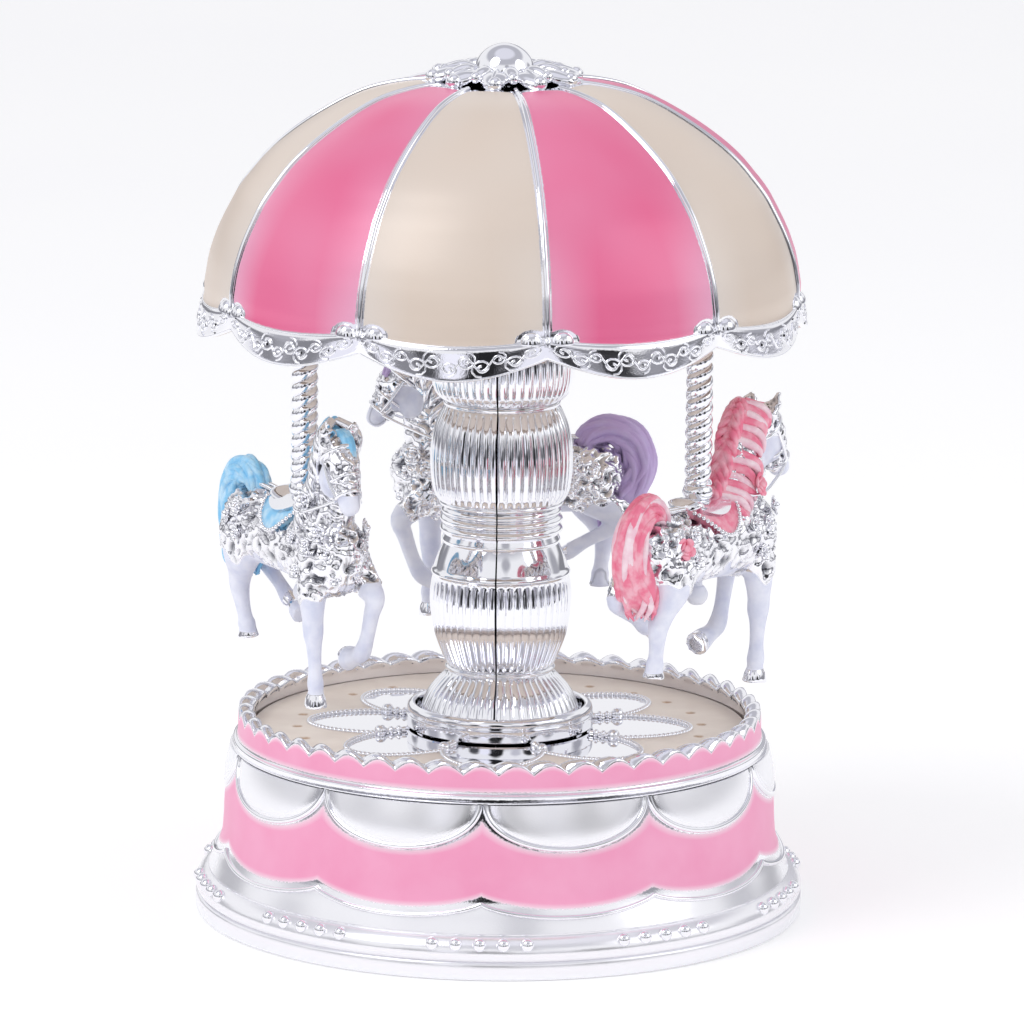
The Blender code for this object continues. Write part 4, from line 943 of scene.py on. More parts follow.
class MUSICBOX_OT_roof(bpy.types.Operator):
    """Roof dome with its ribs, corner bosses and valance scrolls."""

    bl_idname = "music_box.roof"
    bl_label = "Roof"

    def execute(self, context):
        s = context.scene.music_box_roof
        chrome = FINISHES["chrome"]
        dome = linked("roof", mesh_of("roof", roof_form(), roof_finish(tuple(s.pink), tuple(s.cream))))
        fixed_to(dome, "carousel", ["roof_dome"])
        line = DOME[(DOME[:, 1] > 107.4) & (DOME[:, 0] > 12)]
        radius, z = lobed(line[:, 0], line[:, 1], np.full(len(line), math.radians(RIB_ANGLE)))
        rib = np.stack([radius + 0.05, np.zeros(len(line)), z + 0.05], -1)
        ribs = path_object("roof_ribs", [(rib, 0.52, False)])
        grown(ribs, "sweep", Sides=10, Finish=chrome)
        ribs.data.shade_smooth()
        in_ring(ribs, GORES, RIB_ANGLE, chrome)
        fixed_to(ribs, "carousel", ())
        edges = []
        along = np.linspace(-17.6, 17.6, 50)
        azimuth = np.radians(along + RIB_ANGLE + 180 / GORES)
        for edge_radius, edge_z, half in ((52.75, ROOF_LINE, 0.22), (53.75, ROOF_HEM + 0.25, 0.2)):
            radius, z = lobed(edge_radius, edge_z, azimuth)
            edges.append((on_wall(radius, along, z), half, False))
        trims = path_object("valance_trims", [*edges, *scrollwork()])
        grown(trims, "sweep", Sides=6, Finish=chrome)
        trims.data.shade_smooth()
        in_ring(trims, GORES, RIB_ANGLE + 180 / GORES, chrome)
        fixed_to(trims, "carousel", ())
        knobs = Form(np.zeros((0, 3)), [])
        arches = []
        turn = np.radians(np.linspace(-4, 184, 25))
        _, rib_line = lobed(52.6, ROOF_LINE, math.radians(RIB_ANGLE + 2.9))
        for side in (-1, 1):
            middle = np.array((51.6, side * BOSS_OFFSET, float(rib_line) - 0.2))
            knob = ball(middle, BOSS_RADIUS, (0.85, 1, 1))
            knob.points[:, 2] = np.maximum(knob.points[:, 2], middle[2])
            knobs += knob
            lean = 51.75 - 0.09 * BOSS_RIM_RADIUS * np.sin(turn)
            arches.append((np.stack([lean, middle[1] + BOSS_RIM_RADIUS * np.cos(turn),
                                     middle[2] + BOSS_RIM_RADIUS * np.sin(turn)], -1), 0.36, False))
        rims = grown(path_object("boss_rims", arches), "sweep", Sides=10, Finish=chrome)
        rims.data.shade_smooth()
        in_ring(rims, GORES, RIB_ANGLE, chrome)
        fixed_to(rims, "carousel", ())
        bosses = linked("corner_bosses", mesh_of("corner_bosses", knobs, chrome))
        in_ring(bosses, GORES, RIB_ANGLE, chrome)
        fixed_to(bosses, "carousel", ())
        return {"FINISHED"}


def leaf_form():
    """A curled leaf of the crown, lying along +X."""
    body = loft([(5.6, 0, 148.7, 1.5, 0.9), (7.4, 0, 149.3, 2.5, 1.25), (9.6, 0, 149.3, 2.75, 1.35),
                 (11.6, 0, 148.9, 2.2, 1.2), (13.0, 0, 148.5, 1.3, 1.0), (13.6, 0, 148.3, 0.6, 0.6)], 18)
    tip = ball((12.7, 0.5, 148.9), 1.35, levels=3)
    vein = loft([(6.4, 0, 150.1, 0.35, 0.35), (8.6, 0, 150.65, 0.55, 0.45), (11.0, 0, 150.1, 0.45, 0.4),
                 (12.4, 0, 149.7, 0.25, 0.25)], 10)
    return body + tip + vein


class MUSICBOX_OT_crown(bpy.types.Operator):
    """Leaves, small curls and the ball on top of the roof."""

    bl_idname = "music_box.crown"
    bl_label = "Crown"

    def execute(self, context):
        chrome = FINISHES["chrome"]
        leaves = linked("crown_leaves", mesh_of("crown_leaves", leaf_form(), chrome))
        in_ring(leaves, GORES, RIB_ANGLE + 180 / GORES, chrome)
        fixed_to(leaves, "carousel", ["roof_rosette"])
        small = loft([(5.2, 0, 149.8, 0.9, 0.8), (7.0, 0, 150.4, 1.4, 0.95), (9.0, 0, 150.1, 1.3, 0.9),
                      (10.8, 0, 149.3, 0.8, 0.7)], 14)
        small += ball((10.6, 0, 149.6), 1.1, levels=3)
        curls = linked("crown_curls", mesh_of("crown_curls", small, chrome))
        in_ring(curls, GORES, RIB_ANGLE, chrome)
        fixed_to(curls, "carousel", ())
        centre = corner_mm("roof_finial", 1).z - FINIAL_RISE
        arc = np.radians(np.linspace(-76, 90, 40))
        outline = np.stack([FINIAL_RADIUS * np.cos(arc), centre + FINIAL_RADIUS * np.sin(arc)], -1)
        outline = np.vstack([[(0, outline[0, 1])], outline])
        outline[-1, 0] = 0
        knob = turned(outline, 96, to_axis=True)
        finial = linked("finial_ball", mesh_of("finial_ball", knob, chrome))
        fixed_to(finial, "carousel", ["roof_finial"])
        return {"FINISHED"}


# ---- Poles and horses -------------------------------------------------------------------------------------

# Stations are (forward, outward, height, half width, half depth), from the pole's axis.
TRUNK = ((-22.6, 0, 70.6, 0.8, 1.2), (-21.2, 0, 70.7, 4.0, 4.6), (-18.4, 0, 70.5, 5.9, 6.2),
         (-13.0, 0, 70.2, 6.3, 6.6), (-6.0, 0, 69.9, 5.9, 6.4), (0.0, 0, 69.9, 6.0, 6.5),
         (6.0, 0, 69.8, 6.2, 6.9), (12.0, 0, 69.6, 6.1, 7.3), (16.6, 0, 69.6, 4.9, 6.3),
         (19.2, 0, 69.4, 2.8, 4.2), (20.1, 0, 69.3, 0.6, 1.2))
NECK = ((10.2, 0, 70.0, 4.9, 7.4), (10.8, 0.1, 75.0, 4.2, 6.8), (12.2, 0.3, 80.0, 3.4, 5.8),
        (13.6, 0.6, 84.8, 2.9, 5.1), (14.8, 0.8, 88.4, 2.5, 4.0), (15.4, 1.0, 91.2, 1.3, 2.0))
HEAD = ((15.6, 1.0, 90.4, 2.3, 2.4), (17.6, 1.1, 88.4, 3.0, 3.6), (19.4, 1.2, 85.8, 2.9, 3.8),
        (21.2, 1.2, 83.0, 2.25, 2.7), (22.7, 1.3, 80.8, 1.95, 2.1), (23.7, 1.4, 79.4, 1.6, 1.6),
        (24.1, 1.4, 78.8, 0.7, 0.8))
RIGHT_FORE = ((12.5, 3.0, 69.0, 3.4, 4.8), (12.8, 3.9, 63.5, 2.6, 3.1), (13.1, 4.0, 59.0, 1.95, 2.1),
              (13.1, 3.9, 56.2, 1.85, 2.0), (13.2, 3.8, 53.8, 1.4, 1.5), (13.2, 3.6, 50.0, 1.2, 1.3),
              (13.2, 3.5, 47.4, 1.5, 1.65), (13.2, 3.4, 45.9, 1.35, 1.45), (13.1, 3.4, 44.9, 1.8, 1.95),
              (13.0, 3.4, 43.2, 2.15, 2.35))
LEFT_FORE = ((12.5, -3.0, 69.0, 3.4, 4.6), (15.6, -4.6, 65.4, 2.5, 2.9), (18.4, -5.7, 62.6, 1.9, 2.0),
             (17.6, -5.5, 59.6, 1.45, 1.55), (16.2, -5.3, 55.4, 1.3, 1.4), (14.6, -5.1, 52.4, 1.6, 1.65),
             (12.4, -5.1, 51.2, 1.5, 1.55), (10.2, -5.1, 50.6, 1.85, 1.9), (7.8, -5.1, 49.8, 2.15, 2.25))
RIGHT_HIND = ((-15.2, 3.0, 69.5, 4.2, 5.8), (-16.4, 3.2, 64.8, 3.2, 4.3), (-17.9, 2.7, 61.2, 2.1, 2.6),
              (-18.9, 2.3, 58.5, 1.75, 2.1), (-18.6, 1.9, 55.4, 1.35, 1.5), (-18.3, 1.5, 53.0, 1.3, 1.4),
              (-18.2, 1.3, 51.9, 1.6, 1.7), (-18.1, 1.1, 50.9, 1.5, 1.65), (-18.1, 1.0, 49.4, 2.0, 2.2))
LEFT_HIND = ((-15.2, -3.0, 69.5, 4.2, 5.6), (-18.6, -3.4, 66.0, 3.0, 3.7), (-22.4, -4.0, 63.2, 1.85, 2.0),
             (-19.4, -4.0, 60.9, 1.35, 1.45), (-15.4, -4.0, 58.8, 1.2, 1.25), (-12.4, -4.0, 56.9, 1.5, 1.5),
             (-10.6, -4.0, 56.0, 1.2, 1.25), (-9.2, -4.0, 55.5, 1.6, 1.65), (-7.4, -4.0, 54.9, 1.85, 1.9))
TAIL = ((-14.6, 0, 74.6, 1.6, 1.5), (-16.0, 0, 77.6, 1.9, 2.1), (-19.6, 0, 78.9, 2.1, 2.4),
        (-23.4, 0, 77.2, 2.3, 2.8), (-25.2, 0, 73.2, 2.4, 2.9), (-24.4, 0, 69.2, 2.8, 2.9),
        (-22.6, 0, 66.2, 3.5, 3.0), (-21.0, 0, 63.4, 2.6, 2.4), (-20.2, 0, 61.0, 0.6, 0.7))
CREST = ((13.0, 0, 92.9), (11.2, 0, 91.6), (9.8, 0, 88.6), (8.2, 0, 85.0), (6.4, 0, 81.2), (4.4, 0, 78.6),
         (2.8, 0, 77.0))
DRAPE_GRAIN = 2.1  # mm between the creases of the plated drape


def ears():
    """Two pointed ears."""
    found = Form(np.zeros((0, 3)), [])
    for side in (-1, 1):
        found += loft([(16.4, 1.3 * side + 1.1, 89.2, 1.5, 1.2), (17.3, 2.1 * side + 1.1, 91.0, 1.7, 0.9),
                       (18.1, 2.5 * side + 1.1, 92.6, 1.15, 0.6),
                       (18.9, 2.6 * side + 1.1, 94.2, 0.14, 0.14)], 14)
    return found


def swung(points):
    """The casting bends outwards from the pole to the head."""
    moved = np.array(points, float)
    moved[:, 1] -= 0.5 + 0.09 * np.clip(moved[:, 0] - 4, 0, None)
    return moved


def cast_horse():
    """The horse's bare body fused from its lofts, with its values, in its own frame."""
    parts = loft(TRUNK, 28)
    for stations in (NECK, HEAD, RIGHT_FORE, LEFT_FORE, RIGHT_HIND, LEFT_HIND):
        parts += loft(stations)
    parts += ball((17.2, -1.1, 84.2), 3.2, (1.0, 0.85, 1.1)) + ears()
    cast = linked("horse_cast", mesh_of("horse_cast", parts))
    fuse = cast.modifiers.new("fuse", "REMESH")
    fuse.mode = "VOXEL"
    fuse.voxel_size = 0.36 * MM
    soften = cast.modifiers.new("soften", "SMOOTH")
    soften.factor, soften.iterations = 0.5, 4
    graph = bpy.context.evaluated_depsgraph_get()
    mesh = bpy.data.meshes.new_from_object(cast.evaluated_get(graph))
    points = np.array([v.co for v in mesh.vertices]) / MM
    normals = np.array([v.vector for v in mesh.vertex_normals])
    faces = [list(face.vertices) for face in mesh.polygons]
    bpy.data.objects.remove(cast)
    bpy.data.meshes.remove(mesh)
    return finished_horse(points, normals, faces)


def finished_horse(points, normals, faces):
    """Sinks creases in the plated drape, says where plating and lacquer lie, and how much painted shade
    darkens the deep creases.
    """
    forward, inward, height = points.T
    lower = (65.2 - 4.6 * np.exp(-((forward - 12.2) / 3.4) ** 2) + 1.1 * np.sin(forward * 0.62 + 0.6)
             + 0.7 * np.sin(forward * 1.45))
    cheek = np.hypot(forward - 17.4, height - 83.6) - 3.0
    muzzle = np.hypot(forward - 23.9, height - 79.6) - 2.5
    drape = np.minimum(height - lower, np.minimum(cheek, muzzle))
    right_hoof = np.where(forward > 5, 45.6 - height, np.where(forward < -14, 50.4 - height, -1.0))
    left_hoof = np.where(height < 60, np.where(forward > 0, 8.6 - forward, -9.4 - forward), -1.0)
    left_hoof = np.where(forward > -12, left_hoof, -1.0)
    hoof = np.where(inward < 0, right_hoof, np.where(forward < 12, np.minimum(left_hoof, 1.0), -1.0))
    ear = height - 91.0
    plating = np.maximum(np.maximum(drape, hoof), ear)
    spots = [Vector(point) for point in points]
    creases = np.array([abs(noise.noise(spot / DRAPE_GRAIN)) + 0.5 * abs(noise.noise(spot * 2 / DRAPE_GRAIN))
                        for spot in spots])
    relief = 0.5 - 1.5 * creases
    worked = np.clip(drape * 2, 0, 1)
    points = points + normals * (worked * relief * 0.85)[:, None]
    # painted shade: the deeper a crease of the drape, the more its colour is darkened, standing in for
    # shadow
    crease_shade = worked * np.clip(-1.8 * relief, 0, 1)
    return Form(points, faces, plating_mm=plating, seam_mm=inward, crease_shade=crease_shade)


def trunk_skin(forward, degrees, lift):
    """A point over the trunk: 0 degrees is the back, 90 the horse's right side."""
    stations = np.array(TRUNK)
    half_width = np.interp(forward, stations[:, 0], stations[:, 3]) + lift
    half_depth = np.interp(forward, stations[:, 0], stations[:, 4]) + lift
    centre = np.interp(forward, stations[:, 0], stations[:, 2])
    angle = np.radians(degrees)
    aside, height = -half_width * np.sin(angle), centre + half_depth * np.cos(angle)
    return np.stack(np.broadcast_arrays(forward, aside, height), -1)


def blanket_reach(forward):
    """How many degrees down the side the blanket hangs."""
    return 70 - 1.0 * (forward + 0.5) ** 2


def draped(start, finish, share_of_reach, lift):
    """A cloth or skirt lying over the back between two places, down to a share of the blanket's reach."""
    along = np.linspace(start, finish, 30)
    share = np.linspace(-1, 1, 41)
    spread = share[:, None] * share_of_reach * blanket_reach(along)[None, :]
    outer = trunk_skin(along[None, :], spread, lift)
    inner = trunk_skin(along[None, :], spread, -0.3)
    grid = np.concatenate([outer, inner[:, ::-1]], axis=1)
    faces = [list(face) for face in skin(grid.shape)]
    columns = grid.shape[1]
    faces.append(list(range(columns)))
    faces.append(list(range((len(share) - 1) * columns, len(share) * columns)))
    return Form(grid.reshape(-1, 3), faces)


def blanket_edge(beyond):
    """Two lines along the blanket's edges, this many degrees beyond them."""
    along = np.linspace(-7.4, 6.4, 40)
    reach = blanket_reach(along) + beyond
    right = trunk_skin(along, reach, 0.95)
    left = trunk_skin(along[::-1], -reach[::-1], 0.95)
    return right, left


def saddle():
    """The seat with its skirt."""
    seat = loft([(-6.6, 0, 76.0, 1.8, 0.9), (-5.8, 0, 77.6, 3.3, 1.2), (-3.6, 0, 77.0, 3.4, 1.0),
                 (0, 0, 76.6, 2.9, 0.9), (2.8, 0, 77.0, 2.5, 1.0), (4.4, 0, 78.2, 1.5, 1.1),
                 (5.0, 0, 78.9, 0.7, 0.6)], 20)
    return seat + draped(-5.4, 4.4, 0.62, 1.5)


def lock(root, tip, lift, wave, half, phase=0.0, count=16):
    """A lock of hair from root to tip, bowed sideways and rippled, as (points, half thickness, closed)."""
    root, tip = np.array(root, float), np.array(tip, float)
    share = np.linspace(0, 1, count)
    line = root + (tip - root) * share[:, None]
    bow = np.sin(math.pi * share)[:, None] * np.array(lift)
    along = (tip - root) / np.linalg.norm(tip - root)
    aside = np.cross(along, (0.0, 1.0, 0.0))
    ripple = (np.sin(share * 5.2 + phase) * share * wave)[:, None] * aside
    thickness = half * (1 - share**2.2) ** 0.6 + 0.08
    return line + bow + ripple, thickness, False


def mane_locks():
    """Swept locks on both sides of the neck, in the horse's frame (forward, inward, height)."""
    crest = run(np.array(CREST), 6)
    paths = []
    for side in (-1, 1):
        for k in range(17):
            root = crest[int(k * (len(crest) - 1) / 16)] + (0.2, side * 0.5, 0.1)
            tip = root + (3.2 + 0.11 * k + 0.7 * math.sin(k * 1.7), side * (2.7 + 0.1 * k),
                          -4.6 - 0.9 * math.cos(k * 2.3))
            paths.append(lock(root, tip, (0.9, side * 1.4, 0.6), 0.5, 0.84, k * 1.3))
    return paths


def crest_locks():
    """The ridge of the mane with short locks behind it, and the forelock."""
    crest = run(np.array(CREST), 6)
    thickness = np.interp(np.linspace(0, 1, len(crest)), [0, 0.5, 1], [1.1, 1.7, 1.2])
    paths = [(crest + (0.4, 0, -0.5), thickness, False)]
    for side in (-1, 1):
        for k in range(12):
            root = crest[int((k + 0.5) * (len(crest) - 1) / 12)] + (-0.2, side * 0.3, 0.5)
            tip = root + (-0.7 - 0.4 * math.sin(k * 2.1), side * 1.4, -4.2 - 1.0 * math.sin(k * 1.1))
            paths.append(lock(root, tip, (-0.4, side * 0.5, 0.7), 0.6, 0.62, k * 0.9))
    for k in range(3):
        root = (16.9, (k - 1) * 0.6 - 0.4, 91.8)
        tip = (22.3 - abs(k - 1) * 0.8, (k - 1) * 0.65 - 0.3, 86.0)
        paths.append(lock(root, tip, (1.2, 0, 1.5), 0.3, 0.62, k))
    return paths


def tail_locks():
    """Waved locks round the tail."""
    stations = run(np.array(TAIL), 5)
    core = stations[:, :3] * (1, -1, 1)
    along = np.gradient(core, axis=0)
    along /= np.linalg.norm(along, axis=1)[:, None]
    side_axis = np.array([0.0, 1.0, 0.0])
    out_axis = np.cross(along, side_axis)
    share = np.linspace(0, 1, len(core))
    paths = []
    for k in range(22):
        turn = math.tau * k / 22 + 0.55 * np.sin(share * 6.0 + k) + share * 0.8
        ripple = 0.86 + 0.12 * np.sin(share * 16 + 2.1 * k)
        line = core + (ripple * stations[:, 3] * np.cos(turn))[:, None] * side_axis
        line = line + (ripple * stations[:, 4] * np.sin(turn))[:, None] * out_axis
        spread = np.array([math.cos(k * 2.4), math.sin(k * 2.4), -0.4]) * 7
        flare = np.clip(share - 0.72, 0, None)[:, None] * spread
        first = (k * 5) % 4
        thick = np.interp(share, [0, 0.15, 0.5, 0.9, 1], [0.45, 0.6, 0.75, 0.5, 0.12])
        paths.append(((line + flare)[first:], thick[first:], False))
    return paths


def rose(place, facing, size):
    """A small flower: a bud in two rings of cupped petals."""
    found = ball((0, 0, 0.35 * size), 0.42 * size, levels=2)
    for count, reach, tilt, phase in ((3, 0.42, 55, 0.0), (5, 0.8, 25, 0.4)):
        for k in range(count):
            petal = ball((0, 0, 0), 0.55 * size, (0.75, 1.0, 0.3), 2)
            turn = (Matrix.Rotation(math.tau * k / count + phase, 4, "Z")
                    @ Matrix.Translation((reach * size, 0, 0.15 * size))
                    @ Matrix.Rotation(math.radians(-tilt), 4, "Y"))
            found += petal.placed(turn)
    aim = Vector((0, 0, 1)).rotation_difference(Vector(facing)).to_matrix().to_4x4()
    return found.placed(Matrix.Translation(place) @ aim)


BODY_ROSES = ((16.2, 4.6, 74.4, 0.6, 1.6), (13.4, 5.6, 71.6, 0.1, 1.5), (17.6, 3.4, 70.6, 0.8, 1.4),
              (-13.0, 6.0, 74.0, 0.0, 1.5), (-12.6, 6.4, 69.4, -0.2, 1.4), (8.4, 6.2, 72.4, 0.0, 1.3),
              (18.3, 2.0, 66.8, 0.9, 1.3), (10.8, 6.4, 67.0, 0.1, 1.4))
MANE_ROSES = ((11.0, 5.0, 79.0, 0.3, 1.9), (-16.2, 5.9, 72.2, -0.4, 1.7))


def roses(rows):
    """Flowers on both sides, from (forward, aside, height, how far they face forward, size)."""
    found = Form(np.zeros((0, 3)), [])
    for side in (-1, 1):
        for forward, aside, height, ahead, size in rows:
            found += rose((forward, side * aside, height), (ahead, side, 0.25), size)
    return found


def bridle_paths():
    """Straps round the head and a rein to the saddle."""
    paths = []
    ring = np.linspace(0, math.tau, 25)[:-1]
    up = np.array((0.8, 0.0, 0.59))
    bands = ((22.2, 1.3, 81.6, 2.15, 2.45, 0.36), (20.6, 1.2, 84.0, 2.6, 3.15, 0.3),
             (17.9, 1.1, 88.0, 3.1, 3.8, 0.42))
    for forward, out, height, wide, deep, half in bands:
        centre = np.array((forward, -out, height))
        points = centre + np.cos(ring)[:, None] * np.array((0, wide, 0)) + np.sin(ring)[:, None] * up * deep
        paths.append((points, half, True))
    for side in (-1, 1):
        cheek = run(np.array([(22.2, side * 2.15 - 1.3, 81.6), (20.2, side * 2.85 - 1.2, 84.2),
                              (18.0, side * 3.1 - 1.1, 87.6)]), 5)
        paths.append((cheek, 0.34, False))
        rein = run(np.array([(21.8, side * 2.2 - 1.3, 81.0), (17.0, side * 4.1 - 0.6, 79.2),
                             (11.0, side * 5.3, 77.4), (5.5, side * 2.2, 77.8)]), 6)
        paths.append((rein, 0.3, False))
    return paths


def horse_finish(name, colour):
    """Lacquered legs and head, crumpled plating over the body, the moulding's seam down the middle, and
    painted shade in the deep creases of the drape.
    """
    material, tree, shader, place = new_finish(name)
    plating = node(tree, VALUE, {"attribute_name": "plating_mm"}).outputs["Fac"]
    aside = node(tree, VALUE, {"attribute_name": "seam_mm"}).outputs["Fac"]
    crease_shade = node(tree, VALUE, {"attribute_name": "crease_shade"}).outputs["Fac"]
    metal = node(tree, RANGE, Value=plating, From_Min=-0.1, From_Max=0.12).outputs[0]
    clouds = node(tree, NOISE, Vector=place, Scale=per_mm(3.0), Detail=3.0).outputs[0]
    cloud = node(tree, RANGE, Value=clouds, From_Min=0.35, From_Max=0.7).outputs[0]
    paint = node(tree, MIX, COLOURS, i0=cloud, i6=colour, i7=srgb("D4D8EC")).outputs[2]
    tint = node(tree, MIX, COLOURS, i0=metal, i6=paint, i7=CHROME).outputs[2]
    seam = node(tree, MATHS, {"operation": "ABSOLUTE"}, i0=aside).outputs[0]
    groove = node(tree, RANGE, Value=seam, From_Min=0.05, From_Max=0.2).outputs[0]
    line = node(tree, RANGE, Value=groove, To_Min=0.35, To_Max=0.0).outputs[0]
    tint = node(tree, MIX, COLOURS, i0=line, i6=tint, i7=srgb("6E7180")).outputs[2]
    # painted shade: colour mixed towards dark grey in the deep creases of the drape, standing in for shadow
    tint = node(tree, MIX, COLOURS, i0=crease_shade, i6=tint, i7=srgb("6F7078")).outputs[2]
    rough = node(tree, RANGE, Value=metal, To_Min=0.38, To_Max=0.09).outputs[0]
    bump = node(tree, BUMP, Strength=1.0, Distance=0.12 * MM, Height=groove).outputs[0]
    feed(tree, shader, Base_Color=tint, Metallic=metal, Roughness=rough, Normal=bump)
    return material


def hair_finish(name, colour, streak):
    """Brushed-on lacquer in the hair, worn pale in patches."""
    material, tree, shader, place = new_finish(name)
    patches = node(tree, NOISE, Vector=place, Scale=per_mm(2.2), Detail=4.0).outputs[0]
    patch = node(tree, RANGE, Value=patches, From_Min=0.42, From_Max=0.66).outputs[0]
    tint = node(tree, MIX, COLOURS, i0=patch, i6=colour, i7=streak).outputs[2]
    dull = node(tree, NOISE, Vector=place, Scale=per_mm(1.0)).outputs[0]
    rough = node(tree, RANGE, Value=dull, From_Min=0.3, From_Max=0.7, To_Min=0.36, To_Max=0.52).outputs[0]
    strokes = node(tree, NOISE, Vector=place, Scale=per_mm(0.5), Detail=3.0).outputs[0]
    bump = node(tree, BUMP, Strength=1.0, Distance=0.05 * MM, Height=strokes).outputs[0]
    feed(tree, shader, Base_Color=tint, Roughness=rough, Normal=bump)
    return material


def horse_pieces(name, number, angle, hair, sides, pale, finishes, cast):
    """One horse and its trappings, in place on the carousel."""
    x, y = POLE_CIRCLE * math.cos(math.radians(angle)), POLE_CIRCLE * math.sin(math.radians(angle))
    place = Matrix.Translation((x, y, 0)) @ Matrix.Rotation(math.radians(angle + 90), 4, "Z")
    chrome = FINISHES["chrome"]

    def standing(form):
        return Form(swung(form.points), form.faces, **form.values).placed(place)

    def moved(paths):
        return [(standing(Form(line, [])).points, half, closed) for line, half, closed in paths]

    skin_mesh = mesh_of(f"{name}_body", standing(cast), finishes["body"], merge=False, sharp=180)
    body = linked(f"{name}_body", skin_mesh)
    fixed_to(body, "carousel", [f"horse_{number}_right", f"horse_{number}_left"])
    for label, paths, finish, count in (
        ("crest", crest_locks(), hair, 10),
        ("mane", mane_locks()[::2], sides, 10),
        ("mane_strands", mane_locks()[1::2], pale, 10),
        ("tail_locks", [path for k, path in enumerate(tail_locks()) if k % 3], hair, 10),
        ("tail_strands", tail_locks()[::3], pale if sides is hair else hair, 10),
        ("bridle", bridle_paths(), chrome, 8),
    ):
        made = grown(path_object(f"{name}_{label}", moved(paths)), "sweep", Sides=count, Finish=finish)
        made.data.shade_smooth()
        fixed_to(made, "carousel", ())
    for label, form, finish in (
        ("tail", loft(TAIL, 24), hair), ("blanket", draped(-7.2, 6.2, 1.0, 0.8), hair),
        ("saddle", saddle(), FINISHES["crumpled"]), ("roses", roses(BODY_ROSES), chrome),
        ("mane_roses", roses(MANE_ROSES), sides),
    ):
        made = linked(f"{name}_{label}", mesh_of(f"{name}_{label}", standing(form), finish))
        fixed_to(made, "carousel", ())
    strap = np.linspace(-15.5, -6.5, 12)
    lines = (*blanket_edge(2), trunk_skin(strap, 6, 0.7), trunk_skin(strap, -6, 0.7))
    beads = path_object(f"{name}_trim", moved([(line, 1, False) for line in lines]))
    grown(beads, "beads", Count=22, Bead_radius=0.42 * MM, Finish=chrome)
    fixed_to(beads, "carousel", ())
    eyes = ball((19.6, 1.65, 87.0), 0.55, (1, 0.6, 1), 2) + ball((19.6, -4.0, 87.0), 0.55, (1, 0.6, 1), 2)
    eye_piece = linked(f"{name}_eyes", mesh_of(f"{name}_eyes", standing(eyes), finishes["eyes"]))
    fixed_to(eye_piece, "carousel", ())


TWIST_FOOT = 80.4
TWIST_TOP = 111.0


class MUSICBOX_OT_poles(bpy.types.Operator):
    """Barley-twist poles with the collars on the saddles and the buttons under the bellies."""

    bl_idname = "music_box.poles"
    bl_label = "Poles"

    def execute(self, context):
        s = context.scene.music_box_rides
        chrome = FINISHES["chrome"]
        for number, angle in enumerate(POLE_ANGLES, 1):
            high = corner_mm(f"pole_{number}", 1).z
            x, y = POLE_CIRCLE * math.cos(math.radians(angle)), POLE_CIRCLE * math.sin(math.radians(angle))
            place = Matrix.Translation((x, y, 0))
            twist = linked(f"pole_twist_{number}", bpy.data.meshes.new(f"pole_twist_{number}"))
            grown(twist, "twist", Length=(TWIST_TOP - TWIST_FOOT) * MM, Lead=s.twist_lead,
                  Strand_radius=1.32 * MM, Winding_radius=1.1 * MM, Finish=chrome)
            twist.data.transform(Matrix.Translation((x * MM, y * MM, TWIST_FOOT * MM)))
            fixed_to(twist, "carousel", [f"pole_{number}"])
            ends = run([(0.0, 76.2), (1.3, 76.3), (1.45, 77.4), (2.4, 78.0), (2.75, 79.0), (2.4, 80.0),
                        (1.75, 80.5), (1.7, 80.9), (0.9, 81.3), (0.0, 81.4)], 4)
            ends[:, 0] = np.clip(ends[:, 0], 0, None)
            both = turned(ends, 32, to_axis=True)
            both += turned([(0.0, 110.6), (1.5, 110.6), (1.5, high), (0.0, high)], 24, to_axis=True)
            name = f"pole_collar_{number}"
            collar = linked(name, mesh_of(name, both.placed(place), chrome))
            fixed_to(collar, "carousel", ())
            centre = corner_mm(f"pole_pin_{number}", 0).z + 1.55
            stem = run([(0.0, centre - 1.9), (1.3, centre - 1.5), (2.0, centre), (1.4, centre + 1.4),
                        (0.95, centre + 1.9), (1.0, 66.0), (0.0, 66.0)], 4)
            stem[:, 0] = np.clip(stem[:, 0], 0, None)
            pin = turned(stem, 24, to_axis=True)
            name = f"belly_button_{number}"
            button = linked(name, mesh_of(name, pin.placed(place), FINISHES["white"]))
            fixed_to(button, "carousel", [f"pole_pin_{number}"])
        return {"FINISHED"}


class MUSICBOX_OT_horses(bpy.types.Operator):
    """The three horses with hair, bridles, saddles and roses."""

    bl_idname = "music_box.horses"
    bl_label = "Horses"

    def execute(self, context):
        s = context.scene.music_box_rides
        cast = cast_horse()
        finishes = {
            "body": horse_finish("lacquer_and_plating_on_horse", tuple(s.body)),
            "eyes": lacquered("black_gloss_lacquer", srgb("17171C"), srgb("24242B"), 0.15, 2.0),
        }
        rows = (("back_horse", s.back_hair, "C3B2DC", "lilac_horse_plastic"),
                ("left_horse", s.left_hair, "BFE2F8", "blue_horse_plastic"),
                ("right_horse", s.right_hair, "F6B9C8", "rose_horse_plastic"))
        pale = hair_finish("pale_pink_strand_lacquer", srgb("EFC4D3"), srgb("F8E3EA"))
        for number, (name, colour, streak, slot) in enumerate(rows, 1):
            hair = hair_finish(f"{name}_hair_lacquer", tuple(colour), srgb(streak))
            painted = name == "right_horse"
            sides, strands = (hair, pale) if painted else (FINISHES["crumpled"], FINISHES["crumpled"])
            horse_pieces(name, number, POLE_ANGLES[number - 1], hair, sides, strands, finishes, cast)
        return {"FINISHED"}


# ---- Movement and hidden parts ----------------------------------------------------------------------------


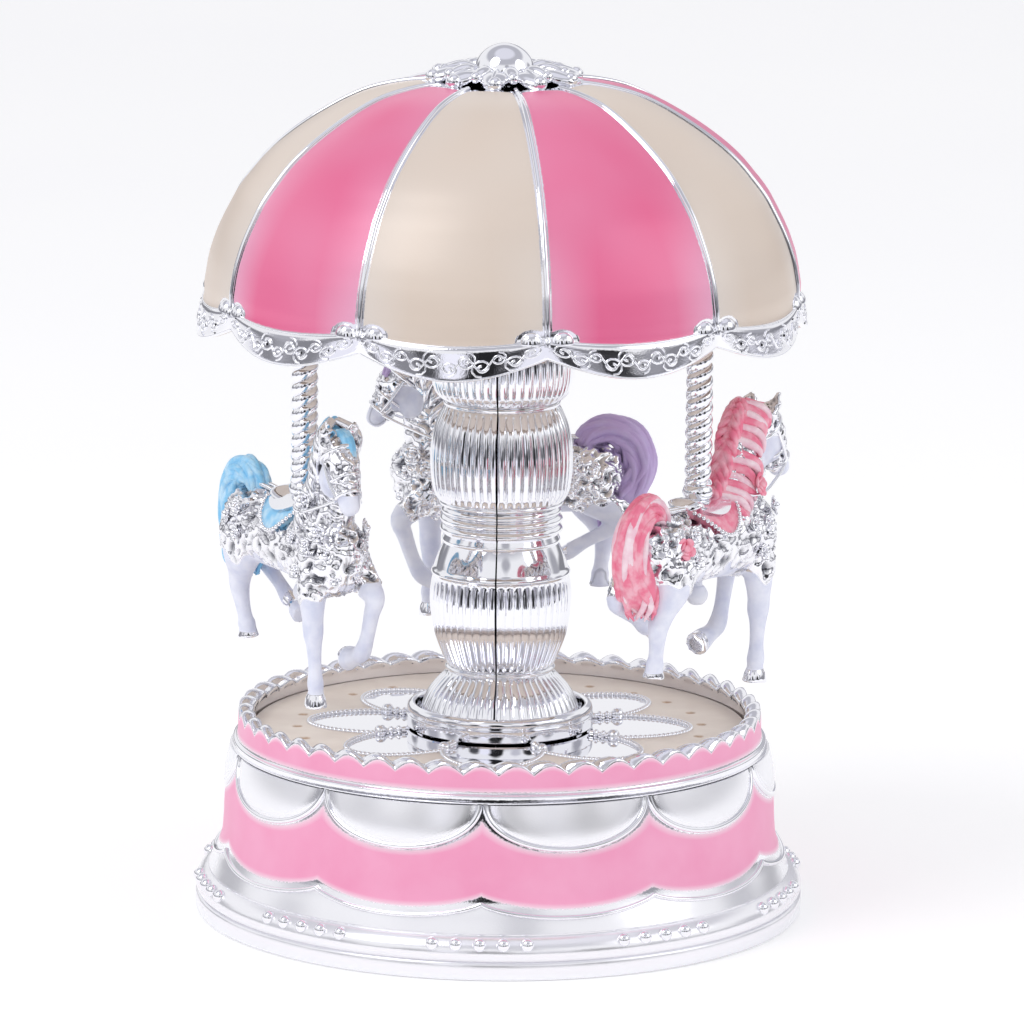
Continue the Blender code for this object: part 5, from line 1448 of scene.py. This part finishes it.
class MUSICBOX_OT_movement(bpy.types.Operator):
    """Finishes for the movement, the screws, the cover and the other parts that keep their CAD shapes."""

    bl_idname = "music_box.movement"
    bl_label = "Movement"

    def execute(self, context):
        brass = worked_metal("turned_brass", srgb("C8A250"), srgb("A9853C"), 0.28, 0.3)
        steel = worked_metal("ground_steel", srgb("BCC0C4"), srgb("9DA1A6"), 0.26, 0.25)
        zinc = worked_metal("die_cast_zinc", srgb("A5A7A8"), srgb("8D8F90"), 0.48, 0.6)
        nickel = worked_metal("nickel_plated_screw", srgb("D5D6D8"), srgb("B9BABD"), 0.2, 0.3)
        polymer = lacquered("black_polypropylene", srgb("26262A"), srgb("34343A"), 0.5, 3.0)
        by_slot = {"brass": brass, "bright_steel": steel, "plated_steel": nickel, "die_cast_zinc": zinc,
                   "black_plastic": polymer, "white_plastic": FINISHES["white"],
                   "cream_plastic": FINISHES["cream"]}
        slots = {row["node"]: row["material_slot"] for row in frame["record"]["subparts"]}
        for name, made in frame["nodes"].items():
            finish = by_slot.get(slots.get(name), FINISHES["chrome"])
            made.data.materials.clear()
            made.data.materials.append(finish)
        return {"FINISHED"}


# ---- Studio -----------------------------------------------------------------------------------------------

# What the mirrors see in the tent: soft boxes, grey rings, and the dark room round the camera. Each row is
# (azimuth from the camera's side towards +X, elevation, inner and outer radius in degrees, and brightness).
WINDOWS = (
    (0, 90, 48, 55, 0.52),
    (0, 90, 24, 32, 0.78),
    (0, -90, 95.5, 99, 0.26),
    (0, -90, 87, 90, 0.9),
    (0, -90, 30, 60, 0.72),
    (-5, 11, 8, 11, 0.02),
    (-3, 1, 9, 12, 0.02),
    (-18, 9, 5, 9, 0.95),
    (-31, 9, 4, 8, 0.08),
    (20, 12, 4, 8, 0.6),
    (38, 9, 7, 10, 0.03),
    (42, -2, 7, 11, 0.05),
    (62, 9, 4, 9, 0.35),
    (-62, 10, 5, 11, 0.3),
    (-90, 12, 6, 13, 0.45),
    (112, 11, 6, 13, 0.4),
    (-130, 6, 6, 12, 0.3),
    (165, 9, 8, 13, 0.5),
    (-20, -8, 6, 11, 0.1),
    (10, -6, 6, 10, 0.05),
    (48, -7, 6, 11, 0.1),
    (-70, -10, 6, 12, 0.2),
    (90, -9, 6, 12, 0.2),
    (-150, -9, 7, 12, 0.2),
    (10, 32, 5, 9, 0.45),
    (-40, 42, 6, 11, 0.5),
    (75, 40, 6, 11, 0.5),
)


def studio_world():
    """A tent whose zones only mirrors see. It lights matt surfaces evenly, and looks white to the camera."""
    world = bpy.data.worlds.new("white_tent")
    world.use_nodes = True
    tree = world.node_tree
    tree.nodes.clear()
    place = node(tree, "ShaderNodeTexCoord")
    direction = node(tree, "ShaderNodeVectorMath", {"operation": "NORMALIZE"}, i0=place.outputs["Generated"])
    shown = (0.93, 0.93, 0.95)
    for azimuth, elevation, inner, outer, shade in WINDOWS:
        a, e = math.radians(azimuth), math.radians(elevation)
        aim = (math.sin(a) * math.cos(e), -math.cos(a) * math.cos(e), math.sin(e))
        facing = node(tree, "ShaderNodeVectorMath", {"operation": "DOT_PRODUCT"}, i0=direction.outputs[0],
                      i1=aim).outputs["Value"]
        patch = node(tree, RANGE, Value=facing, From_Min=math.cos(math.radians(outer)),
                     From_Max=math.cos(math.radians(inner))).outputs[0]
        shown = node(tree, MIX, COLOURS, i0=patch, i6=shown, i7=(shade, shade, shade * 1.1)).outputs[2]
    rays = node(tree, "ShaderNodeLightPath")
    lit = node(tree, MIX, COLOURS, i0=rays.outputs["Is Glossy Ray"], i6=(0.8, 0.8, 0.82),
               i7=shown).outputs[2]
    lit = node(tree, MIX, COLOURS, i0=rays.outputs["Is Camera Ray"], i6=lit, i7=(1.0, 1.0, 1.0)).outputs[2]
    sky = node(tree, "ShaderNodeBackground", Color=lit, Strength=1.0)
    result = node(tree, "ShaderNodeOutputWorld")
    tree.links.new(sky.outputs[0], result.inputs["Surface"])
    return world


def soft_light(name, place, size, power):
    """A round area light aimed at the object's middle."""
    lamp = bpy.data.lights.new(name, "AREA")
    lamp.shape = "DISK"
    lamp.size = size
    lamp.energy = power
    made = bpy.data.objects.new(name, lamp)
    made.location = place
    made.rotation_euler = (Vector((0, 0, 0.07)) - Vector(place)).to_track_quat("-Z", "Y").to_euler()
    bpy.context.scene.collection.objects.link(made)


FLOOR_RADIUS = 2200.0
FLOOR_FRONT = 300.0  # how far the floor reaches towards the camera
FLOOR_GLOW = 0.18
CAMERA_LENS = 228.5  # mm, on a sensor 36 mm wide
CAMERA_TARGET = (1.9, 0.0, 71.19)
CAMERA_ROLL = 0.45  # degrees


class MUSICBOX_OT_stage(bpy.types.Operator):
    """Floor, tent, soft lights and camera."""

    bl_idname = "music_box.stage"
    bl_label = "Stage"

    def execute(self, context):
        scene = context.scene
        s = scene.music_box_stage
        scene.world = studio_world()
        outline = [(0.0, -1.0), (FLOOR_RADIUS, -1.0), (FLOOR_RADIUS, -0.02), (0.0, -0.02)]
        disc = turned(outline, 96, to_axis=True)
        disc = disc.placed(Matrix.Translation((0, FLOOR_RADIUS - FLOOR_FRONT, 0)))
        paper = lacquered("opal_acrylic_light_table", tuple(s.floor), srgb("F6F6F6"), 0.7, 400.0)
        glow = paper.node_tree.nodes["Principled BSDF"].inputs
        glow["Emission Color"].default_value = (1, 1, 1, 1)
        glow["Emission Strength"].default_value = FLOOR_GLOW
        floor = linked("studio_floor", mesh_of("studio_floor", disc, paper))
        soft_light("key_light", (-0.45, -0.35, 0.75), 0.5, 1.9)
        soft_light("fill_light", (0.6, -0.2, 0.5), 0.5, 0.6)
        data = bpy.data.cameras.new("studio_camera")
        data.sensor_width = 36.0
        data.lens = CAMERA_LENS
        data.clip_start, data.clip_end = 0.05, 20.0
        camera = bpy.data.objects.new("studio_camera", data)
        scene.collection.objects.link(camera)
        target = Vector(CAMERA_TARGET) * MM
        back = Vector((0, -math.cos(s.elevation), math.sin(s.elevation)))
        camera.location = target + back * s.distance
        aim = (-back).to_track_quat("-Z", "Y").to_matrix().to_4x4()
        roll = Matrix.Rotation(math.radians(CAMERA_ROLL), 4, "Z")
        camera.matrix_world = Matrix.Translation(camera.location) @ aim @ roll
        scene.camera = camera
        scene.view_settings.view_transform = "Standard"
        return {"FINISHED"}


class MUSICBOX_OT_finishes(bpy.types.Operator):
    """Makes the finishes that several pieces share."""

    bl_idname = "music_box.finishes"
    bl_label = "Finishes"

    def execute(self, context):
        s = context.scene.music_box_base
        FINISHES.update(
            chrome=plated("vacuum_plated_abs", 0.055),
            crumpled=plated("vacuum_plated_abs_relief", 0.11, 0.05),
            base=sprayed_over_plating("pink_lacquer_on_plated_abs", srgb("F6D3E2"), tuple(s.pink),
                                      srgb("F3A6C7")),
            white=lacquered("white_abs", srgb("E8E9F0"), srgb("DCDEE8"), 0.4, 6.0),
            cream=lacquered("cream_abs", srgb("DCCEC1"), srgb("E6DBD0"), 0.42, 8.0),
        )
        return {"FINISHED"}


class MUSICBOX_PT_panel(bpy.types.Panel):
    """The pieces and their sizes in the sidebar."""

    bl_label = "Music box"
    bl_space_type = "VIEW_3D"
    bl_region_type = "UI"
    bl_category = "Music box"

    def draw(self, context):
        layout = self.layout
        for operator in OPERATORS:
            layout.operator(operator.bl_idname)
        for label in SETTINGS:
            box = layout.box()
            group = getattr(context.scene, label)
            for key in group.bl_rna.properties.keys():
                if key not in ("rna_type", "name"):
                    box.prop(group, key)


SETTINGS = {
    "music_box_base": BaseSettings,
    "music_box_column": ColumnSettings,
    "music_box_roof": RoofSettings,
    "music_box_rides": RideSettings,
    "music_box_stage": StageSettings,
}
OPERATORS = (MUSICBOX_OT_finishes, MUSICBOX_OT_movement, MUSICBOX_OT_base, MUSICBOX_OT_deck,
             MUSICBOX_OT_column, MUSICBOX_OT_roof, MUSICBOX_OT_crown, MUSICBOX_OT_poles,
             MUSICBOX_OT_horses, MUSICBOX_OT_stage)
CLASSES = (*SETTINGS.values(), *OPERATORS, MUSICBOX_PT_panel)


def register():
    for kind in CLASSES:
        bpy.utils.register_class(kind)
    for label, kind in SETTINGS.items():
        setattr(bpy.types.Scene, label, PointerProperty(type=kind))


def unregister():
    for label in SETTINGS:
        delattr(bpy.types.Scene, label)
    for kind in reversed(CLASSES):
        bpy.utils.unregister_class(kind)


def main():
    register()
    for operator in OPERATORS:
        group, call = operator.bl_idname.split(".")
        getattr(getattr(bpy.ops, group), call)()


if __name__ == "__main__":
    main()
